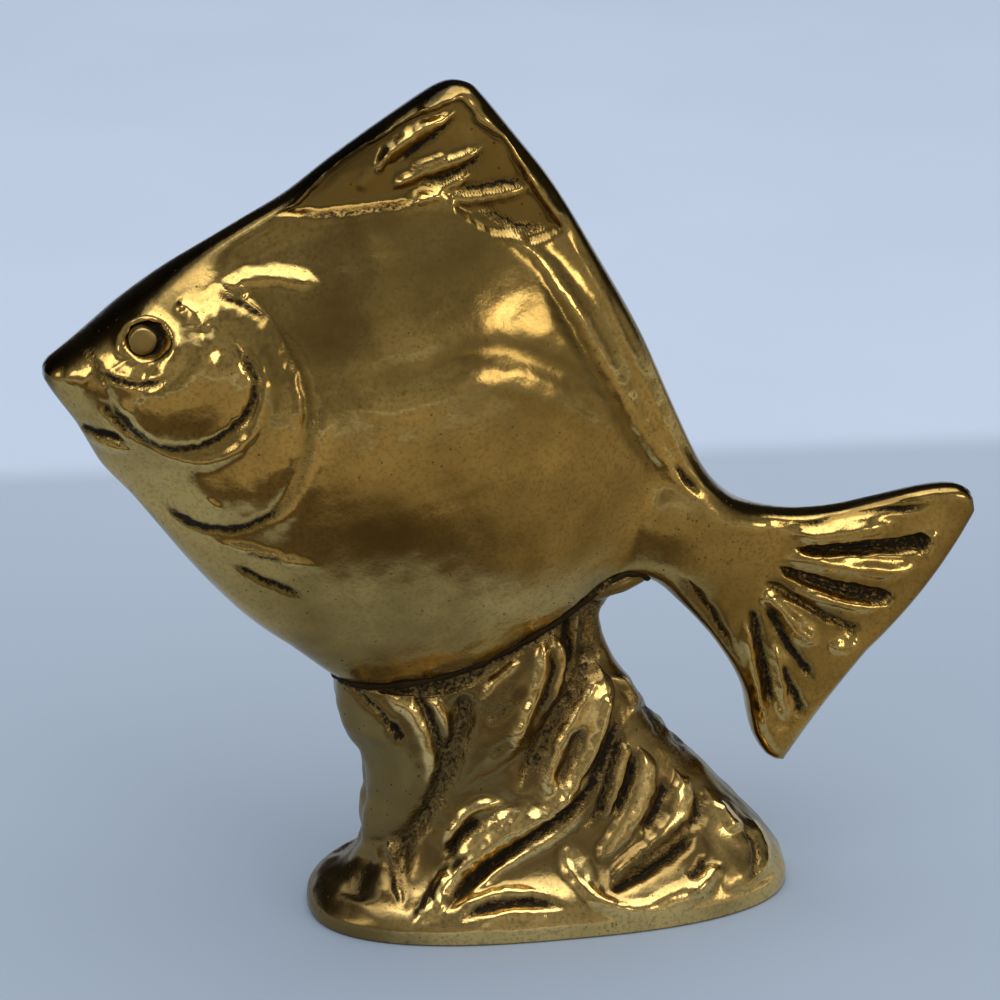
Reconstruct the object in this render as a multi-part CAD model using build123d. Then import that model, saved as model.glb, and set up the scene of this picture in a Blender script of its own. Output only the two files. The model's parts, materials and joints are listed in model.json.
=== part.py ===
from build123d import *
import os

# Brass fish figurine brazed to a carved wave stand. Sizes are in millimetres.
# The head points to -X, the shown side faces -Y and +Z is up.
# The origin is the middle of the face that the figurine rests on.

# Fish casting
fish_length = 111.4
fish_height = 72.8
perch_height = 30.0
fin_thickness = 6.0
rim_bevel = 1.6
body_radius = 30.6
body_thickness = 26.0
head_radius = 13.6
head_thickness = 17.0
peduncle_radius = 5.9
peduncle_thickness = 9.4
fish_groove_depth = 0.9
fish_stroke_width = 1.3
deep_stroke_width = 1.9

# Eyes
eye_diameter = 3.2
eye_height = 1.5
eye_sink = 3.1
socket_width = 4.4
shank_diameter = 2.0
shank_length = 2.6
shank_clearance = 0.3

# Stand casting
foot_length = 60.0
foot_depth = 30.0
foot_band = 2.2
flank_radius = 48.0
waist_depth = 14.2
saddle_wrap = 3.6
saddle_radius = 6.0
saddle_lip = 1.8
gusset_thickness = 5.0
stand_edge_radius = 1.0
stand_groove_depth = 0.8
stand_stroke_width = 1.3

# Joint and rest
braze_gap = 0.5
dowel_diameter = 4.0
dowel_length = 16.0
felt_thickness = 1.0
felt_stand_off = 0.5
felt_inset = 1.5

# Corners of the fish outline as shares of fish_length behind the snout, of fish_height above the belly
# line, and the corner radius as a share of fish_height, from the snout over the back.
outline_shares = [
    (-0.007, 0.570, 0.032),
    (0.104, 0.706, 0.340),
    (0.234, 0.813, 0.340),
    (0.429, 1.012, 0.036),
    (0.546, 0.784, 0.280),
    (0.727, 0.228, 0.190),
    (1.038, 0.289, 0.048),
    (0.777, -0.248, 0.033),
    (0.741, -0.037, 0.160),
    (0.632, 0.168, 0.045),
    (0.413, -0.030, 0.150),
    (0.336, -0.030, 0.100),
    (0.167, 0.174, 0.550),
    (0.048, 0.431, 0.200),
]
# The middle of the foot lies below this share of fish_length.
foot_middle_share = 0.525
body_centre_shares = (0.3590, 0.389)
head_centre_shares = (0.1440, 0.546)
peduncle_centre_shares = (0.6720, 0.235)
eye_shares = (0.1000, 0.634)

# Carved strokes of the fish: start, middle and end, as the same shares. The deep ones open between tail rays.
fish_stroke_shares = [
    ((0.038, 0.492), (0.065, 0.470), (0.089, 0.453)),
    ((0.187, 0.636), (0.206, 0.545), (0.135, 0.471)),
    ((0.196, 0.703), (0.254, 0.584), (0.242, 0.419)),
    ((0.115, 0.375), (0.175, 0.326), (0.237, 0.379)),
    ((0.168, 0.297), (0.229, 0.269), (0.276, 0.247)),
    ((0.361, 0.876), (0.393, 0.912), (0.434, 0.956)),
    ((0.382, 0.848), (0.417, 0.856), (0.463, 0.908)),
    ((0.430, 0.832), (0.465, 0.836), (0.503, 0.841)),
    ((0.759, 0.136), (0.803, 0.091), (0.864, 0.034)),
    ((0.769, 0.071), (0.787, 0.014), (0.817, -0.054)),
    ((0.748, 0.074), (0.761, -0.005), (0.768, -0.093)),
]
deep_stroke_shares = [
    ((0.798, 0.190), (0.866, 0.188), (0.947, 0.185)),
    ((0.777, 0.154), (0.826, 0.128), (0.905, 0.091)),
]

# Side view of the stand. The foot and waist corners are shares of half of foot_length from the middle and
# of perch_height above the table, with the corner radius as a share of perch_height.
front_side_shares = [
    (-0.760, 0.270, 0.200),
    (-0.705, 0.520, 0.450),
]
rear_side_shares = [
    (0.280, 0.930, 0.150),
    (0.485, 0.680, 0.900),
    (0.790, 0.300, 0.500),
]
# Steps of the flanks: how far out they stand between half of waist_depth and half of foot_depth, and their
# height as a share of perch_height.
flank_shares = [
    (0.000, 0.560),
    (0.280, 0.310),
    (0.640, 0.180),
]
flank_centre_share = -0.100
saddle_front_share = 0.290
saddle_rear_share = 0.583
# Corners of the rear gusset leaf below the tail root, from the root corner of the fish outline, as shares of
# fish_length and fish_height.
gusset_shares = [
    (0.012, 0.030),
    (0.010, -0.038),
    (-0.036, -0.040),
    (-0.066, -0.085),
    (-0.075, -0.150),
    (-0.140, -0.150),
    (-0.110, 0.010),
]
# Carved strokes of the stand: start, middle and end, as shares of half of foot_length and of perch_height.
stand_stroke_shares = [
    ((-0.397, 1.030), (-0.475, 0.660), (-0.647, 0.310)),
    ((0.140, 1.080), (-0.020, 0.850), (-0.160, 0.577)),
    ((0.077, 0.817), (0.040, 0.700), (-0.023, 0.593)),
    ((0.233, 0.933), (0.095, 0.555), (-0.247, 0.273)),
    ((0.300, 0.750), (0.285, 0.570), (0.220, 0.450)),
    ((0.560, 0.483), (0.500, 0.327), (0.290, 0.170)),
]


def fish_place(shares):
    # A place on the fish, in the side view, from its shares.
    return ((shares[0] - foot_middle_share) * fish_length, perch_height + shares[1] * fish_height)


def stand_place(shares):
    # A place on the stand, in the side view, from its shares.
    return (shares[0] * foot_length / 2, shares[1] * perch_height)


def moved_corners(corners, growth):
    # The corners of the outline that lies growth outside this one, and on which side each corner bulges.
    # The corners run clockwise, so outward is to the left of the way round.
    places = [Vector(*corner) for corner in corners]
    moved = []
    bulges = []
    for index, place in enumerate(places):
        before = (place - places[index - 1]).normalized()
        after = (places[(index + 1) % len(places)] - place).normalized()
        left_before = before.rotate(Axis.Z, 90)
        left_after = after.rotate(Axis.Z, 90)
        step = (left_before + left_after) * (growth / (1 + left_before.dot(left_after)))
        moved.append(place + step)
        bulges.append(1 if before.cross(after).Z < 0 else -1)
    return moved, bulges


def rounded_outline(plane, corners, radii, growth=0):
    # A closed outline of straight runs joined by tangent arcs, moved out by growth.
    moved, bulges = moved_corners(corners, growth)
    moved_radii = [radius + bulge * growth for radius, bulge in zip(radii, bulges)]
    with BuildSketch(plane) as sketch:
        with BuildLine():
            FilletPolyline(*moved, radius=moved_radii, close=True)
        make_face()
    return sketch.sketch.face()


def crown(radius, thickness, growth):
    # A lens of two shallow balls that rises from the fin plate at the given radius.
    half_plate = fin_thickness / 2
    rise = thickness / 2 - half_plate
    ball_radius = (radius**2 + rise**2) / (2 * rise)
    shift = ball_radius - thickness / 2
    ball = Sphere(ball_radius + growth)
    return Pos(0, shift, 0) * ball & Pos(0, -shift, 0) * ball


def fish_blank(growth):
    # The uncarved fish, with every surface moved out by growth.
    outline = rounded_outline(
        Plane.XZ,
        [fish_place(corner) for corner in outline_shares],
        [corner[2] * fish_height for corner in outline_shares],
        growth,
    )
    plate = extrude(outline, fin_thickness / 2 + growth, both=True)
    walls = plate.edges().filter_by(Axis.Y)
    rims = [edge for edge in plate.edges() if edge not in walls]
    blank = chamfer(rims, rim_bevel + growth / 2)
    prism = extrude(outline, body_thickness, both=True)
    for centre, radius, thickness in (
        (body_centre_shares, body_radius, body_thickness),
        (head_centre_shares, head_radius, head_thickness),
        (peduncle_centre_shares, peduncle_radius, peduncle_thickness),
    ):
        x, z = fish_place(centre)
        blank += Pos(x, 0, z) * crown(radius, thickness, growth) & prism
    return blank


def stroke_prism(places, width, reach):
    # A crescent between two arcs with the same ends, extruded through both sides.
    start, middle, end = (Vector(*place) for place in places)
    side = (end - start).normalized().rotate(Axis.Z, 90) * width / 2
    with BuildSketch(Plane.XZ) as sketch:
        with BuildLine():
            ThreePointArc(start, middle + side, end)
            ThreePointArc(end, middle - side, start)
        make_face()
    return extrude(sketch.sketch, reach, both=True)


def fish_grooves():
    # Every carved stroke of the fish, down to the groove depth on both sides.
    prisms = []
    for table, width in (
        (fish_stroke_shares, fish_stroke_width),
        (deep_stroke_shares, deep_stroke_width),
    ):
        for stroke in table:
            prisms.append(stroke_prism([fish_place(place) for place in stroke], width, body_thickness))
    return prisms[0].fuse(*prisms[1:]) - fish_blank(-fish_groove_depth)


def eye(side):
    # A turned stud: a flat round head on a plain shank, seated on the socket floor.
    x, z = fish_place(eye_shares)
    floor = head_thickness / 2 - eye_sink
    with BuildPart(Plane((x, side * floor, z), z_dir=(0, side, 0))) as stud:
        Cylinder(eye_diameter / 2, eye_height, align=(Align.CENTER, Align.CENTER, Align.MIN))
        Cylinder(shank_diameter / 2, shank_length, align=(Align.CENTER, Align.CENTER, Align.MAX))
    return stud.part


def eye_socket(side):
    # Eight flat chisel cuts around the eye, with a blind bore for the shank.
    x, z = fish_place(eye_shares)
    floor = head_thickness / 2 - eye_sink
    bore_depth = shank_length + shank_clearance
    with BuildPart() as cut:
        with BuildSketch(Plane((x, side * floor, z), z_dir=(0, side, 0))):
            RegularPolygon(socket_width / 2, 8)
        extrude(amount=head_thickness)
        with Locations(Plane((x, side * floor, z), z_dir=(0, side, 0))):
            Cylinder(shank_diameter / 2, bore_depth, align=(Align.CENTER, Align.CENTER, Align.MAX))
    return cut.part


def dowel():
    # The hidden pin that ties the fish to the stand, half in each.
    x, z = fish_place((body_centre_shares[0], 0))
    return Pos(x, 0, z) * Cylinder(dowel_diameter / 2, dowel_length)


def saddle_heights():
    # Where the top of the stand lies inside the fish: front end, low end and rear end.
    front, high, root = (fish_place(outline_shares[index]) for index in (11, 10, 9))
    keel = front[1] + saddle_wrap
    climb = (root[1] - high[1]) / (root[0] - high[0])
    lip = fish_place((saddle_front_share, 0))[0]
    rear = fish_place((saddle_rear_share, 0))[0]
    return [(lip, keel + saddle_lip), (high[0], keel), (rear, keel + climb * (rear - high[0]))]


def stand_blank(growth):
    # The uncarved stand below the saddle: side view, turned flanks and oval foot in one.
    saddle = saddle_heights()
    band_top = felt_stand_off + foot_band
    side_corners = [
        (-foot_length / 2, felt_stand_off),
        (-foot_length / 2, band_top),
        *[stand_place(corner) for corner in front_side_shares],
        *saddle,
        *[stand_place(corner) for corner in rear_side_shares],
        (foot_length / 2, band_top),
        (foot_length / 2, felt_stand_off),
    ]
    side_radii = [stand_edge_radius] * 2
    side_radii += [corner[2] * perch_height for corner in front_side_shares]
    side_radii += [stand_edge_radius, saddle_radius, stand_edge_radius]
    side_radii += [corner[2] * perch_height for corner in rear_side_shares]
    side_radii += [stand_edge_radius] * 2
    side_view = rounded_outline(Plane.XZ, side_corners, side_radii, growth)

    axis_gap = flank_radius - waist_depth / 2
    foot_reach = axis_gap + foot_depth / 2
    waist_reach = axis_gap + waist_depth / 2
    top = saddle[2][1] + saddle_wrap
    flank_corners = [(0, top), (waist_reach, top)]
    for out, height in flank_shares:
        flank_corners.append((waist_reach + out * (foot_reach - waist_reach), height * perch_height))
    flank_corners += [(foot_reach, band_top), (foot_reach, 0), (0, 0)]
    blank = extrude(side_view, foot_depth, both=True)
    for side in (-1, 1):
        origin = (flank_centre_share * foot_length / 2, -side * axis_gap, 0)
        with BuildSketch(Plane(origin, x_dir=(0, side, 0), z_dir=(side, 0, 0))) as profile:
            with BuildLine():
                Polyline(*moved_corners(flank_corners, growth)[0], close=True)
            make_face()
        blank &= revolve(profile.sketch, axis=Axis(origin, (0, 0, 1)))
    return blank & extrude(Ellipse(foot_length / 2 + growth, foot_depth / 2 + growth), top)


def gusset():
    # The leaf that fills the corner between the stand and the tail root.
    root = fish_place(outline_shares[9])
    corners = [(root[0] + x * fish_length, root[1] + z * fish_height) for x, z in gusset_shares]
    leaf = rounded_outline(Plane.XZ, corners, [stand_edge_radius] * len(corners))
    return extrude(leaf, gusset_thickness / 2, both=True)


def felt_blank():
    # The oval pad under the foot.
    return extrude(Ellipse(foot_length / 2 - felt_inset, foot_depth / 2 - felt_inset), felt_thickness)


def stand_grooves():
    # Every carved stroke of the stand, down to the groove depth on both sides.
    prisms = []
    for stroke in stand_stroke_shares:
        places = [stand_place(place) for place in stroke]
        prisms.append(stroke_prism(places, stand_stroke_width, foot_depth))
    return prisms[0].fuse(*prisms[1:]) - stand_blank(-stand_groove_depth)


def main():
    os.makedirs("parts", exist_ok=True)
    sides = {"near": -1, "far": 1}
    fish_plain = fish_blank(0)
    fish_grown = fish_blank(braze_gap)
    stand_plain = stand_blank(0) + gusset()
    pin = dowel()
    sockets = [eye_socket(side) for side in sides.values()]

    nodes = {
        "fish": fish_plain - fish_grooves() - sockets - pin,
        "braze_seam": (stand_plain & fish_grown) - fish_plain - pin,
        "stand": stand_plain - fish_grown - stand_grooves() - felt_blank() - pin,
        "dowel_pin": pin,
        "felt_pad": felt_blank(),
    }
    for name, side in sides.items():
        nodes["eye_" + name] = eye(side)
    for name, shape in nodes.items():
        export_step(shape, "parts/" + name + ".step")
        print(name, len(shape.solids()), round(shape.volume, 1), shape.is_valid)


main()
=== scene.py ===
import json
import bpy
import numpy as np
from mathutils import Matrix, Vector

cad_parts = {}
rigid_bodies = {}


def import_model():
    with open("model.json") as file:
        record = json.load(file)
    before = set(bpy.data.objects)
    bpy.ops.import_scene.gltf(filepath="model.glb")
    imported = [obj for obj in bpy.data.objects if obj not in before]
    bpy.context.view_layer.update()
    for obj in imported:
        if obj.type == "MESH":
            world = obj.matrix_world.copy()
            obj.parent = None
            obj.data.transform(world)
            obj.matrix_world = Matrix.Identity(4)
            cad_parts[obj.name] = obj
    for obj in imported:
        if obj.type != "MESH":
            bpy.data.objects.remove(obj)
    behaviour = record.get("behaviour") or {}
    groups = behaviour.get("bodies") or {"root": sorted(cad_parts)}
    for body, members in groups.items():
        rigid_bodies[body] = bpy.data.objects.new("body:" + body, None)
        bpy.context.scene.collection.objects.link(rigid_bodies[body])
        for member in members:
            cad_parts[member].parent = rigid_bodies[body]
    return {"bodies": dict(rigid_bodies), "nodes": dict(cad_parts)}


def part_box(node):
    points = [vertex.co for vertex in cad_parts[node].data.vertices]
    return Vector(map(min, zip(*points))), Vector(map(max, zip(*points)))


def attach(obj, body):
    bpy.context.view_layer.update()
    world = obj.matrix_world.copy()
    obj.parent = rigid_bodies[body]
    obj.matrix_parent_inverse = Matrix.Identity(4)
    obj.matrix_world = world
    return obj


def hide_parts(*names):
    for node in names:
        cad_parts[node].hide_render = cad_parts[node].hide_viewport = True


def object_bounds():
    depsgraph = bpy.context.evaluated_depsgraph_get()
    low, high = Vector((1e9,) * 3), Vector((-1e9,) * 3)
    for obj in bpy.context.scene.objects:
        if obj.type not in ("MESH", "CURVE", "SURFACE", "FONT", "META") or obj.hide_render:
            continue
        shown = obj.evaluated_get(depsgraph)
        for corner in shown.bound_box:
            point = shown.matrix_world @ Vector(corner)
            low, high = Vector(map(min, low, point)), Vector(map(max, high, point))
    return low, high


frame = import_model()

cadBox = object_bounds()  # before any new piece: the size that the finish has to keep
carrier = list(frame["bodies"])[0]
metre = 1000  # in mm
tiny = 1e-6  # keeps a division from meeting zero
print("frame loaded, everything rides on", carrier)

# Camera
camera = {
    "target": (-5.8, 0.0, 51.6),  # what the photograph is centred on, in mm
    "distance": 380.0,
    "elevation": 22.0,
    "azimuth": -10.0,
    "focalPixels": 3212.7,  # focal length in photograph pixels
    "sensorWidth": 36.0,
    "frameSize": 1000.0,
}


def cameraAxes():
    # the eye stands at the target plus distance times the unit vector of azimuth and elevation
    azimuth, elevation = np.radians([camera["azimuth"], camera["elevation"]])
    back = np.array([
        np.sin(azimuth) * np.cos(elevation),
        -np.cos(azimuth) * np.cos(elevation),
        np.sin(elevation),
    ])
    right = np.cross(-back, [0, 0, 1])
    right /= np.linalg.norm(right)
    return np.array(camera["target"]) + back * camera["distance"], back, right, np.cross(back, right)


def photoPlace(places):
    # where a place in mm falls in the photograph: side and height over depth, times the focal length
    eye, back, right, up = cameraAxes()
    gap = places - eye
    middle = camera["frameSize"] / 2
    scale = camera["focalPixels"] / -(gap @ back)
    return np.stack([middle + scale * (gap @ right), middle - scale * (gap @ up)], -1)


def addCamera():
    # the lens is the focal length in pixels, times the sensor's width over the frame's
    eye, back, right, up = cameraAxes()
    data = bpy.data.cameras.new("photoCamera")
    data.sensor_width = camera["sensorWidth"]
    data.lens = camera["focalPixels"] * camera["sensorWidth"] / camera["frameSize"]
    data.clip_start = 0.01
    thing = bpy.data.objects.new("photoCamera", data)
    bpy.context.scene.collection.objects.link(thing)
    turn = Matrix((right, up, back)).transposed()
    thing.matrix_world = Matrix.Translation(Vector(eye) / metre) @ turn.to_4x4()
    bpy.context.scene.camera = thing


addCamera()
print("camera placed")


# Lines and loops
def smoothLine(points, perRun=8):
    # a cubic through all the points: each end tangent is half the gap between that point's neighbours
    line = np.asarray(points, float)
    ends = np.vstack([2 * line[0] - line[1], line, 2 * line[-1] - line[-2]])
    a, b, c, d = ends[:-3], ends[1:-2], ends[2:-1], ends[3:]
    t = np.linspace(0, 1, perRun, endpoint=False)[:, None, None]
    curve = b + 0.5 * t * (c - a + t * (2 * a - 5 * b + 4 * c - d + t * (3 * b - a - 3 * c + d)))
    return np.vstack([curve.transpose(1, 0, 2).reshape(-1, line.shape[1]), line[-1]])


def nearLine(places, line):
    # for each place: how far the line is, on which side it lies, and at what share of the line's length
    start, run = line[:-1], np.diff(line, axis=0)
    length = np.maximum((run**2).sum(1), tiny)
    gap = places[:, None] - start
    share = np.clip((gap * run).sum(2) / length, 0, 1)
    off = gap - share[..., None] * run
    far = (off**2).sum(2)
    best = far.argmin(1)
    row = np.arange(len(places))
    side = np.sign(run[best, 0] * off[row, best, 1] - run[best, 1] * off[row, best, 0])
    steps = np.sqrt(length)
    before = np.concatenate([[0], np.cumsum(steps)[:-1]])
    along = (before[best] + share[row, best] * steps[best]) / steps.sum()
    return np.sqrt(far[row, best]), side, along


def insideLoop(places, loop):
    # a place is inside when a ray from it crosses the closed loop an odd number of times
    a, b = loop, np.roll(loop, -1, 0)
    x, y = places[:, :1], places[:, 1:]
    spans = (a[:, 1] > y) != (b[:, 1] > y)
    rise = np.where(b[:, 1] == a[:, 1], tiny, b[:, 1] - a[:, 1])
    crossed = spans & (x < a[:, 0] + (y - a[:, 1]) * (b[:, 0] - a[:, 0]) / rise)
    return crossed.sum(1) % 2 == 1


def loopGap(places, loop, block=6000):
    # distance to the closed loop, above zero inside it, worked out in blocks to spare memory
    closed = np.vstack([loop, loop[:1]])
    parts = []
    for first in range(0, len(places), block):
        some = places[first:first + block]
        parts.append(nearLine(some, closed)[0] * np.where(insideLoop(some, loop), 1, -1))
    return np.concatenate(parts)


def ease(value):
    # a soft step from 0 to 1
    value = np.clip(value, 0, 1)
    return value * value * (3 - 2 * value)


def ripple(places, seed, size, count=24):
    # a sum of plane waves in seeded directions with wavelengths near size, between about -1 and 1
    seeded = np.random.default_rng(seed)
    ways = seeded.normal(size=(count, 3))
    ways *= (2 * np.pi / size / seeded.uniform(0.6, 1.6, count) / np.linalg.norm(ways, axis=1))[:, None]
    return np.sin(places @ ways.T + seeded.uniform(0, 2 * np.pi, count)).sum(1) / np.sqrt(count)


# Carving, drawn in photograph pixels and cut in mm
carving = {
    "shake": 0.7,  # every place is shaken by about this many pixels, so that edges look cut by hand
    "shakeSize": 15.0,
    "shakeSeeds": (41, 42),
    "thinning": 0.55,  # a stroke is narrower by this share at its ends
    "sootWidth": 1.15,  # how wide its soot is, over its own width
    "strokeReach": 3,  # a stroke is worked out as far as this many widths, a hollow as many edges
    "hollowReach": 2,
}


def stroke(width, depth, line, dark=0, lift=0, liftSide=1, fade=12, taper=(0.25, 0.25), edge=2):
    # a carved line: a groove where depth is below zero, else a ridge, with soot in it, a lift that
    # fades out on one side, the shares of its length that taper, and how square its section is
    return dict(width=width, depth=depth, line=line, dark=dark, lift=lift, liftSide=liftSide,
        fade=fade, taper=taper, edge=edge)


def hollow(edge, depth, loop, dark=0, dome=False, shine=0):
    # a field inside a closed loop, sunk or raised over a soft edge or as a dome, with soot or polish on it
    return dict(edge=edge, depth=depth, loop=loop, dark=dark, dome=dome, shine=shine)


def closeTo(places, line, reach):
    # the numbers of the places that lie in the line's box, widened by reach
    inside = (places > line.min(0) - reach) & (places < line.max(0) + reach)
    return np.flatnonzero(inside.all(1))


def carveStroke(places, cut):
    # depth times a bell across the line, thinner at both ends, plus the lift on one side
    line = smoothLine(cut["line"])
    reach = carving["strokeReach"] * max(cut["width"], cut["fade"] if cut["lift"] else 0)
    near = closeTo(places, line, reach)
    far, side, along = nearLine(places[near], line)
    start, end = cut["taper"]
    thin = ease(along / max(start, tiny)) * ease((1 - along) / max(end, tiny))
    beyond = (along <= 0) | (along >= 1)
    thin = np.where(beyond & (start + end > 0), 0, thin)
    full = cut["width"] * (1 - carving["thinning"] + carving["thinning"] * thin)
    form = cut["depth"] * thin * np.exp(-np.abs(far / full) ** cut["edge"])
    if cut["lift"]:
        step = side * far * cut["liftSide"]
        lip = np.where(step > 0, np.exp(-step / cut["fade"]), np.maximum(0, 1 + step / full))
        form += cut["lift"] * thin * lip
    return near, form, cut["dark"] * thin * np.exp(-(far / full / carving["sootWidth"]) ** 3)


def carveHollow(places, field):
    # from 0 outside the loop to 1 inside: a soft step across its edge, or a parabola for a dome
    loop = smoothLine(field["loop"] + field["loop"][:1], 4)[:-1]
    near = closeTo(places, loop, carving["hollowReach"] * field["edge"])
    gap = loopGap(places[near], loop) / field["edge"]
    deep = ease(gap + 0.5)
    dome = 1 - (1 - np.clip(gap, 0, 1)) ** 2
    return near, dome if field["dome"] else deep, field["dark"] * deep


def carve(places, strokes, hollows):
    # the sum of all strokes and hollows: height in mm, soot, and the height that the polish follows
    flat = np.column_stack([places, np.zeros(len(places))])
    shake = [ripple(flat, seed, carving["shakeSize"]) for seed in carving["shakeSeeds"]]
    places = places + carving["shake"] * np.stack(shake, 1)
    height, dark = np.zeros((2, len(places)))
    for cut in strokes.values():
        near, form, soot = carveStroke(places, cut)
        height[near] += form
        dark[near] = np.maximum(dark[near], soot)
    lines = height.copy()
    for field in hollows.values():
        near, form, soot = carveHollow(places, field)
        height[near] += field["depth"] * form
        lines[near] += field["shine"] * form
        dark[near] = np.maximum(dark[near], soot)
    return height, dark, lines


# Meshes
def gridNormals(grid):
    # cross product of the two grid directions at every point
    normal = np.cross(np.gradient(grid, axis=0), np.gradient(grid, axis=1))
    return normal / np.maximum(np.linalg.norm(normal, axis=2, keepdims=True), tiny)


def gridIds(grid, first=0):
    # the number of every vertex of a grid
    return first + np.arange(grid.shape[0] * grid.shape[1]).reshape(grid.shape[:2])


def turnedFaces(grid):
    # four-sided faces between closed rings, and one face over the first ring and over the last
    ids = gridIds(grid)
    ahead = np.roll(ids, -1, 1)
    quads = np.stack([ids[:-1], ids[1:], ahead[1:], ahead[:-1]], -1).reshape(-1, 4)
    return quads.tolist() + [ids[0].tolist(), ids[-1][::-1].tolist()]


def sheetFaces(ids):
    # four-sided faces between neighbouring rows of a grid's vertex numbers
    return np.stack([ids[:-1, :-1], ids[:-1, 1:], ids[1:, 1:], ids[1:, :-1]], -1).reshape(-1, 4)


def gridOf(x, y, z):
    # one grid of places from coordinates that may be a single row or column
    return np.stack(np.broadcast_arrays(x, y, z), -1)


def fullTurn(count):
    # angles at equal steps all the way round
    return np.linspace(0, 2 * np.pi, count, endpoint=False)


def addPiece(name, places, faces, material, finish=None):
    # places in mm become one smooth mesh in metres that rides with the figurine
    mesh = bpy.data.meshes.new(name)
    mesh.from_pydata((np.asarray(places) / metre).tolist(), [], faces)
    mesh.validate()
    mesh.polygons.foreach_set("use_smooth", np.ones(len(mesh.polygons), bool))
    if finish is not None:
        layer = mesh.attributes.new("finish", "FLOAT_COLOR", "POINT")
        layer.data.foreach_set("color", finish.ravel())
    mesh.materials.append(material)
    piece = bpy.data.objects.new(name, mesh)
    bpy.context.scene.collection.objects.link(piece)
    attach(piece, carrier)
    return piece


# Nodes and materials
def feed(tree, socket, value):
    # another node's output is linked to the socket, and a plain value is set on it
    if isinstance(value, bpy.types.NodeSocket):
        tree.links.new(value, socket)
    else:
        socket.default_value = value


def node(tree, kind, **settings):
    # a shader node of that kind with the settings on it
    made = tree.nodes.new("ShaderNode" + kind)
    for name, value in settings.items():
        setattr(made, name, value)
    return made


def math(tree, operation, first, *others, clamp=False):
    # all the values taken together from the left by one operation
    for value in others:
        made = node(tree, "Math", operation=operation, use_clamp=clamp)
        feed(tree, made.inputs[0], first)
        feed(tree, made.inputs[1], value)
        first = made.outputs[0]
    return first


def remap(tree, value, low, high, to=(0, 1)):
    # a soft step from the first value of to at low to the second at high
    made = node(tree, "MapRange", interpolation_type="SMOOTHSTEP")
    labels = ("Value", "From Min", "From Max", "To Min", "To Max")
    for label, given in zip(labels, (value, low, high, *to)):
        feed(tree, made.inputs[label], given)
    return made.outputs["Result"]


def mixColour(tree, share, first, second):
    # the first colour where share is 0 and the second where it is 1
    made = node(tree, "Mix", data_type="RGBA")
    for socket, value in zip((made.inputs[0], made.inputs[6], made.inputs[7]), (share, first, second)):
        feed(tree, socket, value)
    return made.outputs[2]


def noise(tree, place, scale, detail, rough=0.55):
    # noise of that many cells to the metre, between 0 and 1
    made = node(tree, "TexNoise")
    for label, given in zip(("Vector", "Scale", "Detail", "Roughness"), (place, scale, detail, rough)):
        feed(tree, made.inputs[label], given)
    return made.outputs["Fac"]


def bumped(tree, height, distance):
    # the normal that a height gives, where distance is what a height of 1 stands for
    made = node(tree, "Bump")
    feed(tree, made.inputs["Height"], height)
    made.inputs["Distance"].default_value = distance
    return made.outputs["Normal"]


def newMaterial(name, settings):
    # a material with plain values on its shader; returns it, its tree, the shader's sockets and the place
    material = bpy.data.materials.new(name)
    material.use_nodes = True
    tree = material.node_tree
    sockets = tree.nodes["Principled BSDF"].inputs
    for label, value in settings.items():
        sockets[label].default_value = value
    return material, tree, sockets, node(tree, "TexCoord").outputs["Object"]


def newGroup(name, inputs, outputs):
    # a node group with those sockets; returns it, what it is given and what it gives out
    group = bpy.data.node_groups.new(name, "ShaderNodeTree")
    for label, kind, value in inputs:
        socket = group.interface.new_socket(label, in_out="INPUT", socket_type="NodeSocket" + kind)
        if value is not None:
            socket.default_value = value
    for label, kind in outputs:
        group.interface.new_socket(label, in_out="OUTPUT", socket_type="NodeSocket" + kind)
    return group, group.nodes.new("NodeGroupInput").outputs, group.nodes.new("NodeGroupOutput").inputs


# Where no note says otherwise, two numbers are where a soft step starts and ends, and a pair after them is
# what it goes between.
patina = {
    "cloud": (70.0, 4.0),  # noise scale per metre and detail of the tarnish clouds
    "grain": (900.0, 2.0, 0.6),  # the same and the roughness, of grain and of grit
    "grit": (2100.0, 3.0, 0.6),
    "pitScale": 1900.0,  # one casting pit per cell of this many to the metre
    "pitShare": 0.055,
    "pittedShare": 0.6,  # and this many more where the finish says pitted
    "pitSize": (0.08, 0.24),  # the least, and what chance adds
    "pitDark": 0.6,  # soot in a pit
    "scratchScale": (2600.0, 260.0, 260.0),  # per metre along x, y and z
    "scratchTurn": (0, 0.6, 0),  # in radians, after the scale: it only picks another part of the noise
    "scratchNoise": (1.0, 2.0),  # scale and detail
    "scratch": (0.68, 0.82),
    "recessDull": 0.8,
    "cloudDull": 1.8,
    "speck": (0.62, 0.8, (0, 0.5)),
    "gritSpeck": (0.46, 0.66, (0, 0.45)),
    # where the clouds let the burnt edges darken: this paints dark reflection as well as soot
    "burnAndShade": (0.35, 0.6, (0.55, 1.0)),
    "grime": (1.6, 0.5, -1.05),  # shares of grit and grain in the soot, and what is taken off
    "soot": (0.42, 0.92),
    "sootFrom": (0.0, 0.3),
    "roughness": (0.10, 0.08, 0.40),  # added by tarnish, scratches and soot
    "sootMetal": 0.2,
    "relief": (0.25, 0.5, 2.2, -0.03, -0.8),  # of grain, cloud, grit in the recesses, scratches and pits
}


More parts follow.
